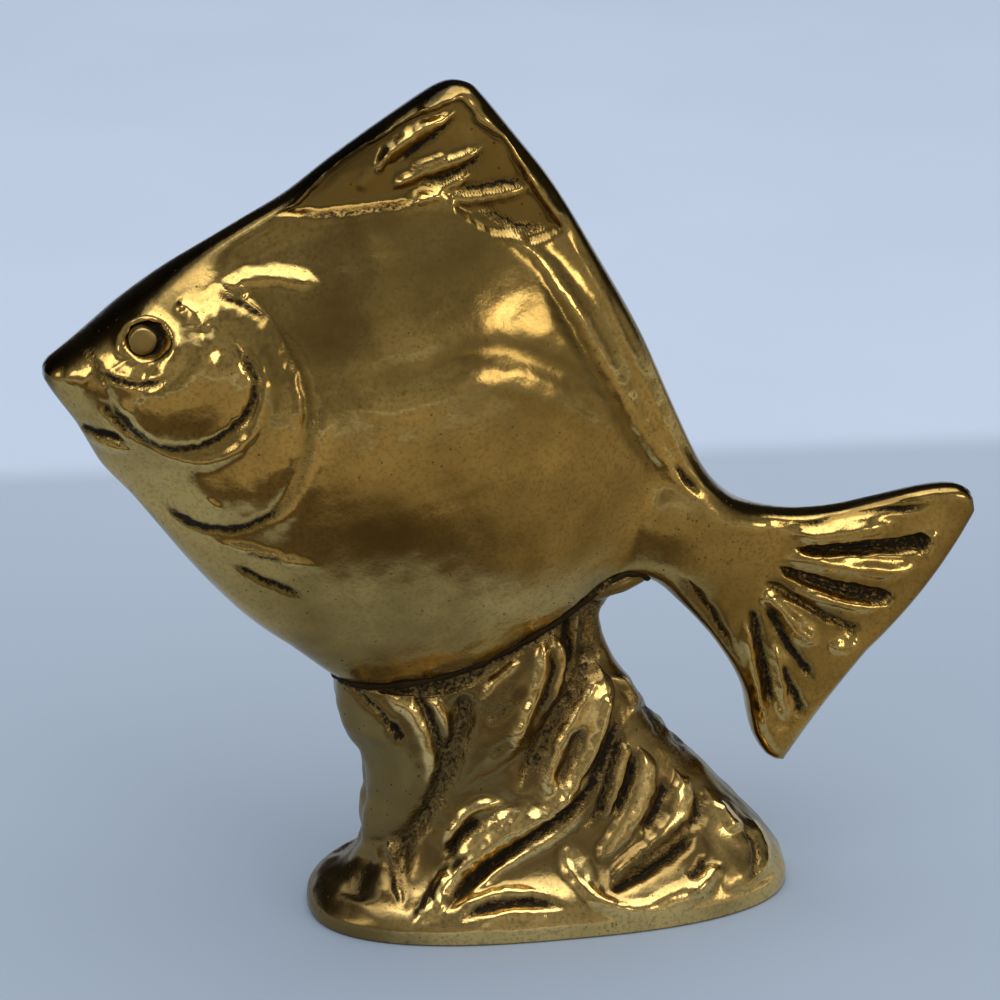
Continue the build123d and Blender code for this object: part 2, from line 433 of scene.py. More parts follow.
def pitMask(group, place, pitted):
    # 1 inside a round of seeded size in a few cells of a Voronoi pattern
    pit = node(group, "TexVoronoi", feature="F1")
    feed(group, pit.inputs["Vector"], place)
    pit.inputs["Scale"].default_value = patina["pitScale"]
    chosen = node(group, "SeparateColor")
    feed(group, chosen.inputs[0], pit.outputs["Color"])
    more = math(group, "MULTIPLY", pitted, patina["pittedShare"])
    share = math(group, "ADD", patina["pitShare"], more)
    least, chance = patina["pitSize"]
    size = math(group, "ADD", least, math(group, "MULTIPLY", chosen.outputs[1], chance))
    rare = math(group, "LESS_THAN", chosen.outputs[0], share)
    return math(group, "MULTIPLY", rare, math(group, "LESS_THAN", pit.outputs["Distance"], size))


def scratchMask(group, place):
    # noise that is narrow along x and drawn out across it, kept only at its peaks
    stretched = node(group, "Mapping")
    feed(group, stretched.inputs["Vector"], place)
    stretched.inputs["Rotation"].default_value = patina["scratchTurn"]
    stretched.inputs["Scale"].default_value = patina["scratchScale"]
    return remap(group, noise(group, stretched.outputs[0], *patina["scratchNoise"]), *patina["scratch"])


def patinaGroup():
    # tarnish clouds, casting pits and fine scratches, with dark in the recesses and gold on the high places
    group, given, out = newGroup("agedBrass", [
        ("Place", "Vector", None),
        ("Metal", "Color", (0.45, 0.33, 0.13, 1)),
        ("Tarnish", "Color", (0.22, 0.155, 0.06, 1)),
        # the colour of soot in the recesses, and of the painted dark reflection on burnt edges
        ("SootAndShade", "Color", (0.030, 0.020, 0.009, 1)),
        ("Recess", "Float", 0.0),
        ("Polish", "Float", 0.0),
        ("Pitted", "Float", 0.0),
        # burnt edges: soot, and painted dark reflection
        ("BurntAndShade", "Float", 0.0),
        ("Smooth", "Float", 0.16),
    ], [("Colour", "Color"), ("Roughness", "Float"), ("Metallic", "Float"), ("Height", "Float")])

    def plus(*values):
        return math(group, "ADD", *values)

    def times(*values):
        return math(group, "MULTIPLY", *values)

    place, recess, tarnish = given["Place"], given["Recess"], given["Tarnish"]
    cloud, grain, grit = (noise(group, place, *patina[name]) for name in ("cloud", "grain", "grit"))
    hole = pitMask(group, place, given["Pitted"])
    scratch = scratchMask(group, place)
    dull = math(group, "SUBTRACT", plus(1.0, times(recess, patina["recessDull"])), given["Polish"])
    dull = remap(group, plus(dull, times(plus(cloud, -0.5), patina["cloudDull"])), 0.0, 1.0)
    colour = mixColour(group, dull, given["Metal"], tarnish)
    colour = mixColour(group, remap(group, grain, *patina["speck"]), colour, tarnish)
    colour = mixColour(group, remap(group, grit, *patina["gritSpeck"]), colour, tarnish)
    # burnt edges go towards the soot colour: soot, and painted dark reflection on the fish's edges
    burntAndShade = times(given["BurntAndShade"], remap(group, cloud, *patina["burnAndShade"]))
    colour = mixColour(group, burntAndShade, colour, given["SootAndShade"])
    gritShare, grainShare, less = patina["grime"]
    grime = plus(recess, times(grit, gritShare), times(grain, grainShare), less)
    soot = remap(group, grime, *patina["soot"])
    soot = times(soot, remap(group, recess, *patina["sootFrom"]))
    soot = math(group, "MAXIMUM", soot, times(hole, patina["pitDark"]))
    feed(group, out["Colour"], mixColour(group, soot, colour, given["SootAndShade"]))
    byDull, byScratch, bySoot = patina["roughness"]
    rough = plus(given["Smooth"], times(dull, byDull), times(scratch, byScratch))
    feed(group, out["Roughness"], math(group, "ADD", rough, times(soot, bySoot), clamp=True))
    feed(group, out["Metallic"], math(group, "SUBTRACT", 1.0, times(soot, patina["sootMetal"])))
    parts = (grain, cloud, times(grit, recess), scratch, hole)
    relief = (times(part, share) for part, share in zip(parts, patina["relief"]))
    feed(group, out["Height"], plus(*relief))
    return group


agedBrass = patinaGroup()


def brassMaterial(name, metal, tarnish, smooth, bump, worked=True):
    # aged brass; a worked piece reads its soot, polish, pits and burnt edges, which are partly painted dark
    # reflection, from its finish attribute
    material, tree, sockets, place = newMaterial(name, {})
    group = node(tree, "Group", node_tree=agedBrass)
    given = {"Place": place, "Metal": (*metal, 1), "Tarnish": (*tarnish, 1), "Smooth": smooth}
    if worked:
        finish = node(tree, "Attribute", attribute_name="finish")
        split = node(tree, "SeparateColor")
        feed(tree, split.inputs[0], finish.outputs["Color"])
        given |= zip(("Recess", "Polish", "Pitted"), split.outputs)
        given["BurntAndShade"] = finish.outputs["Alpha"]
    for label, value in given.items():
        feed(tree, group.inputs[label], value)
    feed(tree, sockets["Base Color"], group.outputs["Colour"])
    feed(tree, sockets["Roughness"], group.outputs["Roughness"])
    feed(tree, sockets["Metallic"], group.outputs["Metallic"])
    feed(tree, sockets["Normal"], bumped(tree, group.outputs["Height"], bump))
    return material


fishBrass = brassMaterial("fishBrass", (0.70, 0.47, 0.15), (0.27, 0.172, 0.048), 0.13, 0.00010)
standBrass = brassMaterial("standBrass", (0.86, 0.60, 0.22), (0.25, 0.164, 0.055), 0.17, 0.00014)
eyeBrass = brassMaterial("eyeBrass", (0.58, 0.42, 0.16), (0.40, 0.28, 0.10), 0.30, 0.00010, worked=False)
pinBrass = brassMaterial("pinBrass", (0.50, 0.38, 0.16), (0.30, 0.22, 0.09), 0.30, 0.00005, worked=False)
fillerTones = (0.16, 0.12, 0.055), (0.04, 0.028, 0.014)
beadFiller = brassMaterial("beadFiller", *fillerTones, 0.45, 0.00030, worked=False)


fibres = {
    "noise": (3500.0, 4.0, 0.7),  # scale per metre, detail and roughness
    "dark": (0.012, 0.012, 0.012, 1),
    "pale": (0.06, 0.058, 0.055, 1),
    "rise": 0.0002,  # in metres
}


def feltMaterial():
    # black felt: fine fibre noise in colour and bump
    material, tree, sockets, place = newMaterial("blackFelt", {"Roughness": 0.95, "Sheen Weight": 0.3})
    fibre = noise(tree, place, *fibres["noise"])
    feed(tree, sockets["Base Color"], mixColour(tree, fibre, fibres["dark"], fibres["pale"]))
    feed(tree, sockets["Normal"], bumped(tree, fibre, fibres["rise"]))
    return material


blackFelt = feltMaterial()
print("materials made")

# Fish. Each rung of the outline runs from the upper edge to the lower edge, x and z in mm.
fish = {
    "rungs": [
        (-58.5, 71.6, -58.5, 70.6), (-58.0, 72.3, -58.1, 69.8), (-56.9, 73.1, -57.2, 68.3),
        (-54.6, 74.8, -56.0, 66.5), (-52.1, 76.8, -55.1, 65.1), (-49.6, 78.8, -53.9, 62.7),
        (-44.7, 82.2, -52.7, 60.3), (-40.0, 85.0, -51.3, 58.4), (-35.4, 87.6, -49.2, 55.9),
        (-30.4, 90.4, -46.2, 51.8), (-25.4, 94.1, -43.3, 47.8), (-20.0, 97.8, -40.5, 44.3),
        (-14.9, 101.1, -37.0, 40.4), (-12.7, 102.3, -34.1, 37.8), (-11.0, 102.7, -31.9, 36.1),
        (-9.3, 102.3, -29.5, 34.0), (-7.9, 101.0, -26.5, 31.4), (-4.2, 96.3, -22.0, 28.6),
        (0.3, 90.3, -15.5, 27.6), (5.2, 82.0, -8.0, 29.0), (10.6, 72.2, 1.0, 34.5),
        (15.1, 61.9, 8.0, 40.9), (18.4, 54.9, 12.4, 40.5), (21.6, 50.9, 16.1, 37.1),
        (25.0, 48.9, 19.4, 33.3), (30.0, 47.8, 21.9, 29.7), (35.0, 47.8, 23.6, 26.6),
        (40.0, 48.6, 24.6, 23.9), (45.3, 49.6, 25.1, 21.2), (48.8, 49.9, 25.7, 18.8),
        (50.9, 49.6, 26.8, 16.6), (52.2, 48.6, 28.0, 15.3), (52.7, 46.6, 29.6, 14.95),
    ],
    "rungSteps": 12,
    "trailingBow": 1.05,  # how far the tail's rear edge bows out in its upper part
    "trailingHeel": 0.30,  # and hollows in its lower part, below the share trailingTurn
    "trailingTurn": 0.55,
    "bowPower": 0.8,
    "bowFrom": 0.75,  # the bow sets in at this share of the length
    "bowWay": (0.8, -0.6),
    "crowding": [(0.0, 1.3), (0.30, 1.3), (0.50, 1.1), (0.58, 0.75), (0.72, 0.75), (0.80, 1.1), (1.0, 1.0)],
    "plate": 3.0,  # half of the fin plate's thickness
    "rimShare": 0.85,  # the rim is a quarter superellipse as wide as this share of the half thickness
    "rimSquareness": 2.6,
    "thinTail": (0.35, 30.0, 22.0),  # the plate loses this share, from this x and over this length
    # shallow balls: centre x and z, radius, rise above the plate
    "lenses": {
        "body": (-18.5, 58.3, 30.6, 10.0),
        "head": (-42.4, 69.75, 14.5, 5.5),
        "root": (16.4, 47.1, 7.5, 1.9),
    },
    "lensBlend": 0.8,
    "lumps": ((0.10, 3, 15.0), (0.03, 5, 4.0)),  # height, seed and size of what casting left uneven
    "alongSteps": 330,
    "nearSteps": 200,
    "farSteps": 100,
    "rimCrowding": 0.5,
    "rimSteps": 3,  # the closed rim takes every third rung, and its tail this many places
    "rimTail": 40,
}

fishFinish = {
    "keep": 1.2,  # the carving sets in over this width along the rim
    "pitted": ((17.0, 46.0), (9.0, 7.0)),  # middle and both radii of the pitted field at the tail's root
    "polish": 0.52,
    "ridge": (0.48, 0.1, 0.5),  # what ridges add, from which height and over how much
    "groove": (0.4, 0.5),  # what grooves take off, and over which depth
    "backLine": (-58.0, 68.0, 0.653),  # x and z of a place below the back, and how steeply the back climbs
    "backSoftness": 3.0,
    "apexX": -9.0,
    "tail": (26.0, 6.0),  # where the tail's dark edge, which is soot and painted dark reflection, sets in and over how much, in x
    "tailTop": (48.0, 2.0),  # and its end and softness in z
    "edgeSootAndShade": (0.6, 0.32),  # soot and painted dark reflection on the narrow edge face, which was never polished, and more on the back
    "edgeFrom": 0.35,  # how much wider it is on the back, in mm
    "edgeFade": (0.9, 0.5),
    "tailSootAndShade": (0.5, 2.0),  # share and width of the soot and painted dark reflection round the tail
}

fishCuts = {
    "eyeArc": stroke(3, -0.45, [(93, 366), (106, 375), (125, 381), (143, 382), (157, 378), (169, 370)],
        dark=0.9, lift=0.25, fade=9, liftSide=-1),
    "lipCreaseUp": stroke(3, -0.35, [(78, 341), (88, 352), (97, 366), (102, 380), (110, 388)],
        dark=0.55),
    "lipCrease": stroke(3.5, -0.4, [(100, 398), (110, 413), (122, 427), (134, 437)], dark=0.7),
    "mouth": stroke(3.6, -0.8, [(80, 428), (92, 431), (106, 435), (118, 439), (132, 444)], dark=1,
        taper=(0.05, 0.35)),
    "lowerLip": stroke(3.5, 0.4, [(84, 437), (100, 444), (116, 449), (136, 450)]),
    "upperLip": stroke(4, 0.25, [(97, 408), (108, 420), (120, 432), (130, 440)]),
    "nose": stroke(12, 0.35, [(60, 375), (76, 377), (90, 385)]),
    "nostril": stroke(2.2, -0.3, [(52, 362), (58, 359), (64, 358)], dark=0.6),
    "cheekArc": stroke(4.2, -0.75, [(228, 336), (240, 350), (250, 366), (254, 382), (250, 400),
        (240, 416), (224, 430), (205, 440), (183, 445), (162, 443), (144, 436), (130, 424), (117, 410),
        (106, 394)], dark=0.85, lift=0.75, fade=15, liftSide=1, taper=(0.12, 0.12)),
    "cheekRim": stroke(6, 0.45, [(246, 340), (258, 362), (262, 387), (257, 418), (242, 441), (220, 454),
        (199, 459), (172, 455), (146, 446)], taper=(0.25, 0.2)),
    "eyeRim": stroke(5, 0.4, [(126, 362), (118, 345), (122, 326), (138, 315), (156, 316), (170, 328),
        (173, 345), (165, 360)], taper=(0.15, 0.15)),
    "foreheadFold": stroke(8, 0.4, [(174, 300), (186, 306), (198, 316), (206, 330)]),
    "coverTop": stroke(3.2, -0.5, [(216, 287), (228, 297), (242, 303), (254, 311), (266, 319)], dark=0.9,
        lift=0.3, fade=8, liftSide=-1),
    "coverTopRidge": stroke(5, 0.4, [(222, 280), (236, 287), (246, 299)]),
    "coverEdge": stroke(7, -0.6, [(266, 318), (284, 340), (298, 368), (307, 398), (311, 428), (306, 460),
        (295, 488), (278, 510), (252, 526)], dark=0.3, lift=0.35, fade=22, liftSide=-1,
        taper=(0.2, 0.2)),
    "coverRidge": stroke(5, 0.4, [(290, 354), (296, 380), (300, 404), (300, 430)]),
    "coverFoot": stroke(3.8, -0.6, [(158, 497), (172, 511), (190, 522), (207, 527), (226, 529),
        (246, 526), (268, 516), (279, 506), (285, 492)], dark=1, lift=0.35, fade=12, liftSide=-1,
        taper=(0.2, 0.25)),
    "cheekBag": stroke(3, 0.2, [(205, 497), (216, 503), (222, 503)]),
    "pectoralTop": stroke(4.5, 0.5, [(208, 540), (232, 546), (256, 552), (290, 562), (326, 567)],
        taper=(0.3, 0.3)),
    "pectoralSlot": stroke(2, -0.35, [(240, 549), (256, 554), (275, 559), (290, 561)], dark=0.7),
    "pectoralGroove": stroke(3, -0.6, [(228, 564), (246, 571), (264, 581), (285, 589), (307, 598)],
        dark=1),
    "browRidge": stroke(8, 0.55, [(222, 286), (246, 278), (272, 276), (300, 280), (324, 288)]),
    "browMark": stroke(5, 0.3, [(178, 299), (190, 305), (202, 307)]),
    "dorsalRimLeft": stroke(4.5, 0.55, [(283, 213), (297, 203), (318, 181), (340, 158), (382, 133),
        (410, 117)], taper=(0.1, 0.2)),
    "dorsalRimTop": stroke(9, 0.6, [(415, 113), (432, 104), (450, 96), (462, 101)]),
    "dorsalRimRight": stroke(7, 0.6, [(470, 104), (488, 120), (507, 140), (524, 166), (540, 192),
        (552, 210), (566, 232)], taper=(0.15, 0.15)),
    "dorsalSwirl": stroke(4, 0.6, [(384, 176), (380, 166), (386, 154), (400, 142), (420, 128),
        (444, 118)], taper=(0.1, 0.2)),
    "dorsalFold": stroke(12, 0.35, [(352, 190), (372, 176), (384, 160)]),
    "dorsalLeafA": stroke(6.6, 1, [(386, 172), (384, 163), (394, 152), (415, 138), (440, 123),
        (463, 110)], taper=(0.15, 0.3)),
    "dorsalCutA": stroke(3.2, -0.45, [(392, 168), (406, 159), (426, 144), (447, 127), (462, 116)],
        dark=1),
    "dorsalLeafB": stroke(5.5, 0.9, [(391, 192), (402, 183), (420, 175), (449, 165), (475, 153),
        (494, 142)], taper=(0.15, 0.3)),
    "dorsalCutB": stroke(3.2, -0.4, [(408, 189), (430, 182), (452, 176), (475, 163), (493, 147)],
        dark=0.95),
    "dorsalLeafC": stroke(6, 0.8, [(402, 200), (430, 196), (458, 183), (476, 174)]),
    "dorsalSlip": stroke(4, 0.6, [(410, 170), (432, 162), (452, 155)]),
    "dorsalLeafD": stroke(5.5, 0.8, [(447, 196), (464, 200), (486, 198), (512, 193), (540, 186)],
        taper=(0.1, 0.3)),
    "dorsalCutD": stroke(3.4, -0.35, [(452, 192), (480, 189), (508, 184), (534, 181)], dark=0.9),
    "dorsalCutE": stroke(2.6, -0.45, [(475, 213), (495, 215), (504, 221), (526, 228), (552, 225)],
        dark=0.95),
    "dorsalLeafE": stroke(4.1, 0.4, [(472, 216), (492, 221), (510, 229), (530, 232), (548, 230)]),
    "dorsalBase": stroke(3.2, -0.2, [(283, 215), (321, 216), (359, 211), (408, 205), (426, 199)],
        dark=0.7, lift=0.35, fade=16, liftSide=1),
    "backBand": stroke(9, 0.45, [(490, 232), (520, 240), (545, 262), (570, 298), (590, 330), (612, 372),
        (634, 410), (660, 450), (682, 482), (706, 503)], taper=(0.1, 0.15)),
    "backHollow": stroke(7, -0.4, [(530, 262), (556, 300), (578, 340), (600, 382), (622, 420), (648, 462),
        (672, 496)], dark=0.25),
    "backRim": stroke(5, 0.25, [(562, 228), (600, 290), (630, 350), (652, 400), (676, 446), (700, 480),
        (730, 500), (762, 508)], taper=(0.1, 0.1)),
    "rootSpurs": stroke(3.4, -0.5, [(672, 462), (686, 480), (700, 492)], dark=0.85),
    "bellyWave": stroke(8, -0.2, [(560, 388), (600, 415), (636, 450), (656, 488), (664, 520)]),
    "sideWave": stroke(13, 0.32, [(322, 398), (345, 401), (372, 404), (402, 402), (436, 390), (470, 376),
        (512, 378), (560, 396), (604, 424), (640, 452)], lift=-0.25, fade=26, liftSide=-1),
    "sideHollow": stroke(16, -0.25, [(330, 372), (370, 376), (420, 368), (470, 352), (520, 354),
        (570, 374), (620, 410)]),
    "flankLight": stroke(12, 0.35, [(330, 402), (322, 430), (306, 470), (284, 512), (262, 540)]),
    "tailRay1": stroke(3.2, -0.6, [(786, 522), (800, 524), (815, 524), (835, 517), (870, 511), (905, 510),
        (936, 506)], dark=1, taper=(0.2, 0.2)),
    "tailRib1": stroke(6, 0.6, [(775, 512), (800, 513), (830, 508), (862, 504)]),
    "tailRib2": stroke(8, 0.8, [(790, 537), (820, 536), (860, 530), (900, 524)]),
    "tailRib3": stroke(8, 0.8, [(780, 560), (820, 562), (855, 568), (890, 571), (925, 567)]),
    "tailRib4": stroke(6, 0.7, [(790, 592), (820, 597), (860, 606), (892, 606)]),
    "tailRib5": stroke(8, 0.9, [(766, 592), (780, 607), (800, 630), (820, 646)], taper=(0.1, 0.2)),
    "tailRib6": stroke(6, 0.6, [(828, 645), (845, 648), (860, 640)]),
    "tailRay4": stroke(5, -0.6, [(762, 583), (780, 590), (800, 603), (827, 618), (850, 628), (858, 634)],
        dark=0.7, taper=(0.15, 0.05)),
    "rayBeads4": stroke(2.4, 0.4, [(776, 594), (800, 608), (828, 623), (852, 632)]),
    "rayBeads3": stroke(2.2, 0.45, [(800, 578), (835, 590), (870, 597)]),
    "rayBeads2": stroke(2, 0.4, [(820, 552), (860, 550), (900, 547)]),
    "tailTopCut": stroke(3, -0.4, [(826, 512), (866, 503), (900, 500), (930, 500)], dark=0.7),
    "tailRay5": stroke(4.2, -0.65, [(764, 604), (774, 618), (786, 642), (802, 664), (814, 682)], dark=1,
        taper=(0.15, 0.15)),
    "tailRay6": stroke(4.5, -0.6, [(752, 607), (757, 630), (762, 655), (768, 684), (772, 712)], dark=0.9,
        taper=(0.1, 0.15)),
    "tailRay7": stroke(3.6, -0.5, [(782, 662), (788, 680), (800, 704), (797, 716)], dark=0.95,
        taper=(0.15, 0.1)),
    "tailRib7": stroke(5, 0.6, [(745, 615), (750, 650), (757, 690), (768, 730)]),
    "tailRib8": stroke(6, 0.7, [(774, 640), (780, 670), (784, 700), (784, 725)]),
    "rootBand": stroke(7, -0.4, [(668, 572), (690, 590), (710, 612), (730, 648), (742, 670)],
        dark=0.45),
    "rootBandLine": stroke(2.6, -0.4, [(686, 578), (702, 598), (716, 618), (734, 651)], dark=0.9),
}

fishPockets = {
    "coverPlate": hollow(42, 1.15, [(214, 284), (238, 292), (264, 310), (284, 340), (298, 376),
        (305, 415), (302, 452), (289, 486), (268, 510), (238, 524), (205, 524), (172, 506), (140, 470),
        (118, 440), (140, 380), (180, 312)], dome=True),
    "cheekPlate": hollow(46, 1, [(158, 350), (190, 322), (222, 328), (243, 352), (252, 378), (248, 402),
        (234, 424), (212, 438), (186, 446), (160, 444), (134, 430), (112, 404), (105, 378), (124, 362)],
        dome=True),
    "dorsalField": hollow(7, -0.8, [(281, 213), (297, 205), (318, 181), (340, 160), (382, 136),
        (412, 120), (440, 107), (464, 102), (478, 124), (500, 136), (516, 158), (529, 180), (538, 194),
        (548, 208), (562, 228), (533, 240), (515, 236), (489, 230), (464, 216), (449, 197), (426, 195),
        (408, 203), (359, 209), (321, 213)], dark=0.05),
    "eyeSocket": hollow(4, -1.25, [(147, 321), (160, 326), (166, 339), (161, 352), (148, 359), (134, 354),
        (128, 341), (133, 327)], dark=1),
    "tailSlot2": hollow(5, -1.2, [(800, 550), (820, 547), (860, 543), (900, 540), (922, 535), (929, 538),
        (929, 549), (915, 553), (870, 555), (830, 555), (804, 554)], dark=0.95),
    "tailSlot3": hollow(5, -1, [(782, 570), (800, 573), (835, 582), (870, 589), (890, 594), (889, 601),
        (878, 604), (850, 600), (815, 589), (788, 577)], dark=0.85),
    "tailField": hollow(10, -0.25, [(770, 520), (820, 506), (880, 494), (930, 492), (944, 500),
        (936, 524), (905, 566), (868, 620), (836, 668), (800, 716), (776, 730), (764, 690), (756, 640),
        (752, 600)], dark=0.12, shine=0.4),
    "slotRim2": hollow(6, 0.4, [(926, 532), (936, 536), (936, 552), (926, 556)], shine=0.3),
}


def evenRows(rows, steps, count):
    # rows interpolated at equal shares of the running sum of steps
    along = np.concatenate([[0], np.cumsum(steps)]) / steps.sum()
    even = np.linspace(0, 1, count + 1)
    return np.stack([np.interp(even, along, column) for column in rows.T], 1)


def fishEdges():
    # both edges as smooth curves, spaced by the sum of their two step lengths and the crowding
    rungs = smoothLine(fish["rungs"], fish["rungSteps"])
    run = np.diff(rungs, axis=0)
    steps = np.linalg.norm(run[:, :2], axis=1) + np.linalg.norm(run[:, 2:], axis=1)
    where, weight = np.array(fish["crowding"]).T
    steps *= np.interp(np.cumsum(steps) / steps.sum(), where, weight)
    return evenRows(rungs, steps, fish["alongSteps"])


def fishSide(edges, steps):
    # places in the side view: straight rungs from the upper to the lower edge, bowed rearwards on the tail
    even = np.linspace(0, 1, steps + 1)
    crowd = fish["rimCrowding"]
    share = (1 - crowd) * even + crowd * (1 - np.cos(np.pi * even)) / 2
    top, low = edges[:, None, :2], edges[:, None, 2:]
    turn, start = fish["trailingTurn"], fish["bowFrom"]
    bow = fish["trailingBow"] * np.sin(np.pi * np.minimum(share / turn, 1)) ** fish["bowPower"]
    bow = bow - fish["trailingHeel"] * np.sin(np.pi * np.clip((share - turn) / (1 - turn), 0, 1))
    bow = bow * ease((np.linspace(0, 1, len(edges)) - start) / (1 - start))[:, None]
    return top + (low - top) * share[:, None] + bow[..., None] * np.array(fish["bowWay"])


fishRim = fishEdges()
skip = fish["rimSteps"]
rimTail = fishSide(fishRim, fish["rimTail"])[-1]
rimLoop = np.vstack([fishRim[::skip, :2], rimTail, fishRim[::-skip, 2:]])


def fishHalf(places):
    # half thickness: the plate plus a soft maximum of the shallow balls, times a superellipse at the rim
    x, z = places.T
    blend, plate, square = fish["lensBlend"], fish["plate"], fish["rimSquareness"]
    total = np.ones(len(places))
    for centreX, centreZ, radius, rise in fish["lenses"].values():
        ball = (radius**2 + rise**2) / (2 * rise)
        height = np.sqrt(np.maximum(ball**2 - (x - centreX) ** 2 - (z - centreZ) ** 2, 0)) - ball + rise
        total += np.exp(height / blend)
    gap = loopGap(places, rimLoop)
    less, start, reach = fish["thinTail"]
    full = plate * (1 - less * ease((x - start) / reach)) + blend * np.log(total)
    edge = np.clip(gap / (fish["rimShare"] * full), 0, 1)
    return np.where(gap > 0, full * (1 - (1 - edge) ** square) ** (1 / square), gap), gap


def uneven(places, rows):
    # the sum of every row's height times its ripple
    return sum(height * ripple(places, seed, size) for height, seed, size in rows)


def edgeSootAndShade(places, gap):
    # soot and painted dark reflection on the narrow edge face, wider and darker on the back, and a paler
    # band round the tail
    x, z = places.T
    lineX, lineZ, climb = fishFinish["backLine"]
    soft = fishFinish["backSoftness"]
    back = ease((z - lineZ - climb * (x - lineX)) / soft) * ease((fishFinish["apexX"] - x) / soft)
    share, more = fishFinish["edgeSootAndShade"]
    width, wider = fishFinish["edgeFade"]
    past = (gap - fishFinish["edgeFrom"] * back) / (width + wider * back)
    shade = (share + more * back) * (1 - ease(past))
    start, reach = fishFinish["tail"]
    end, fade = fishFinish["tailTop"]
    tail = ease((x - start) / reach) * ease((end - z) / fade)
    share, width = fishFinish["tailSootAndShade"]
    return np.maximum(shade, share * tail * (1 - ease(gap / width)))


def fishPlaces(steps, side):
    # one side of the fish: half thickness plus carving, which fades out at the rim
    flat = fishSide(fishRim, steps)
    places = flat.reshape(-1, 2)
    half, gap = (np.maximum(value, 0) for value in fishHalf(places))
    solid = np.stack([places[:, 0], -half, places[:, 1]], 1)
    height, dark, lines = carve(photoPlace(solid), fishCuts, fishPockets)
    keep = ease(gap / fishFinish["keep"])
    half = half + keep * (height + uneven(solid, fish["lumps"]))
    half[gap < tiny] = 0
    middle, radii = fishFinish["pitted"]
    pitted = ease(1 - np.hypot(*((places - middle) / radii).T))
    more, start, reach = fishFinish["ridge"]
    less, depth = fishFinish["groove"]
    polish = fishFinish["polish"] + more * ease((lines - start) / reach) - less * ease(-height / depth)
    # the fourth channel is the burnt edge: soot and painted dark reflection
    finish = np.stack([dark * keep, polish, pitted, edgeSootAndShade(places, gap)], 1)
    grid = np.stack([places[:, 0], side * half, places[:, 1]], 1)
    return grid.reshape(flat.shape[0], steps + 1, 3), finish


def buildFish():
    # near side and far side share the whole rim, so the shell is closed
    near, nearFinish = fishPlaces(fish["nearSteps"], -1)
    far, farFinish = fishPlaces(fish["farSteps"], 1)
    ratio = fish["nearSteps"] // fish["farSteps"]
    nearIds = gridIds(near)
    farIds = gridIds(far, nearIds.size)
    farIds[:, 0], farIds[:, -1] = nearIds[:, 0], nearIds[:, -1]
    farIds[0], farIds[-1] = nearIds[0, ::ratio], nearIds[-1, ::ratio]
    # at both ends one face spans ratio steps of the near side and one step of the far side
    steps = np.arange(fish["farSteps"]) * ratio
    nose = [nearIds[0, steps + k] for k in range(ratio, -1, -1)]
    tail = [nearIds[-1, steps + k] for k in range(ratio + 1)]
    parts = [
        sheetFaces(nearIds),
        sheetFaces(farIds[1:-1])[:, [0, 3, 2, 1]],
        np.column_stack([nose[-1], farIds[1, :-1], farIds[1, 1:], *nose[:-1]]),
        np.column_stack([farIds[-2, :-1], *tail, farIds[-2, 1:]]),
    ]
    used = np.unique(np.concatenate([part.ravel() for part in parts]))
    places = np.vstack([near.reshape(-1, 3), far.reshape(-1, 3)])[used]
    finish = np.vstack([nearFinish, farFinish])[used]
    fresh = np.zeros(nearIds.size + farIds.size, int)
    fresh[used] = np.arange(len(used))
    faces = [face for part in parts for face in fresh[part].tolist()]
    piece = addPiece("fish_casting", places, faces, fishBrass, finish)
    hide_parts("fish")
    print("fish made:", len(faces), "faces")


buildFish()

# Stand. Each row is a level: left x and z, right x and z, and half of the depth, in mm.
stand = {
    "levels": [
        (-29.8, 0.1, 29.8, 0.1, 14.9), (-29.95, 0.6, 29.95, 0.6, 14.97), (-29.7, 2.0, 29.7, 2.2, 14.9),
        (-28.3, 3.5, 28.5, 4.6, 13.7), (-25.6, 5.0, 26.6, 7.2, 11.6), (-23.7, 6.9, 24.3, 9.9, 9.9),
        (-22.3, 9.8, 22.0, 12.4, 8.8), (-22.0, 14.6, 19.4, 15.6, 7.9), (-22.8, 20.0, 15.6, 20.0, 7.3),
        (-24.5, 25.0, 11.7, 25.0, 7.0), (-25.6, 29.0, 8.6, 29.6, 6.6), (-25.9, 31.0, 7.0, 33.0, 6.2),
        (-26.0, 33.0, 6.3, 36.6, 5.6), (-25.2, 34.8, 7.8, 39.4, 5.0), (-24.0, 36.5, 11.4, 40.6, 4.6),
        (-21.0, 38.0, 13.4, 42.0, 4.0), (-16.0, 40.5, 13.2, 44.4, 2.4), (-10.0, 43.0, 11.0, 46.0, 0.8),
    ],
    "rowSteps": 14,
    "leastDepth": 0.5,
    "sag": (3.5, -15.0, 9.0),  # how far the upper levels dip under the belly, round which x and how wide
    "sagFrom": (29.0, 4.0),  # where it sets in and over how much, in z
    "sagTo": (44.0, 6.0),
    "footTop": (4.0, 8.0),  # the foot's roundness turns into the body's from here, over this much
    "footRoundness": 2.35,  # superellipse power of the foot, and of the body above it
    "bodyRoundness": 2.7,
    "footBias": 1.2,  # both ends of the foot lie this far forward of its middle
    "foot": (1.2, 3.0),  # the carving sets in from this height over the foot, over this much
    "lumps": ((0.12, 11, 12.0), (0.05, 12, 3.5)),  # height, seed and size of what casting left uneven
    "nearSteps": 300,
    "farSteps": 120,
    "levelSteps": 198,
}

flutes = {
    "depth": 0.3,  # of the drawn-out hollows on both ends
    "stretch": (0.2, 1, 0.06),
    "seed": 13,
    "size": 3.6,
    "sideways": (0.6, 0.3),  # they set in where the normal's x passes the first value
    "top": (31.0, 5.0),
    "soot": (0.55, 0.4),  # share, and from which depth
}

standFinish = {
    "crevice": (0.9, 1.6, 27.0),  # soot share, how far from the belly, and from which height
    "footLight": (0.8, 10.0, 8.0),  # the foot is polished below the second value
    "footFrom": (-24.0, 12.0),  # and from this x on
    "ridge": 0.45,
    "groove": (0.5, 0.6),  # share of the polish that grooves lose, and over which depth
    "pitted": 0.1,
}

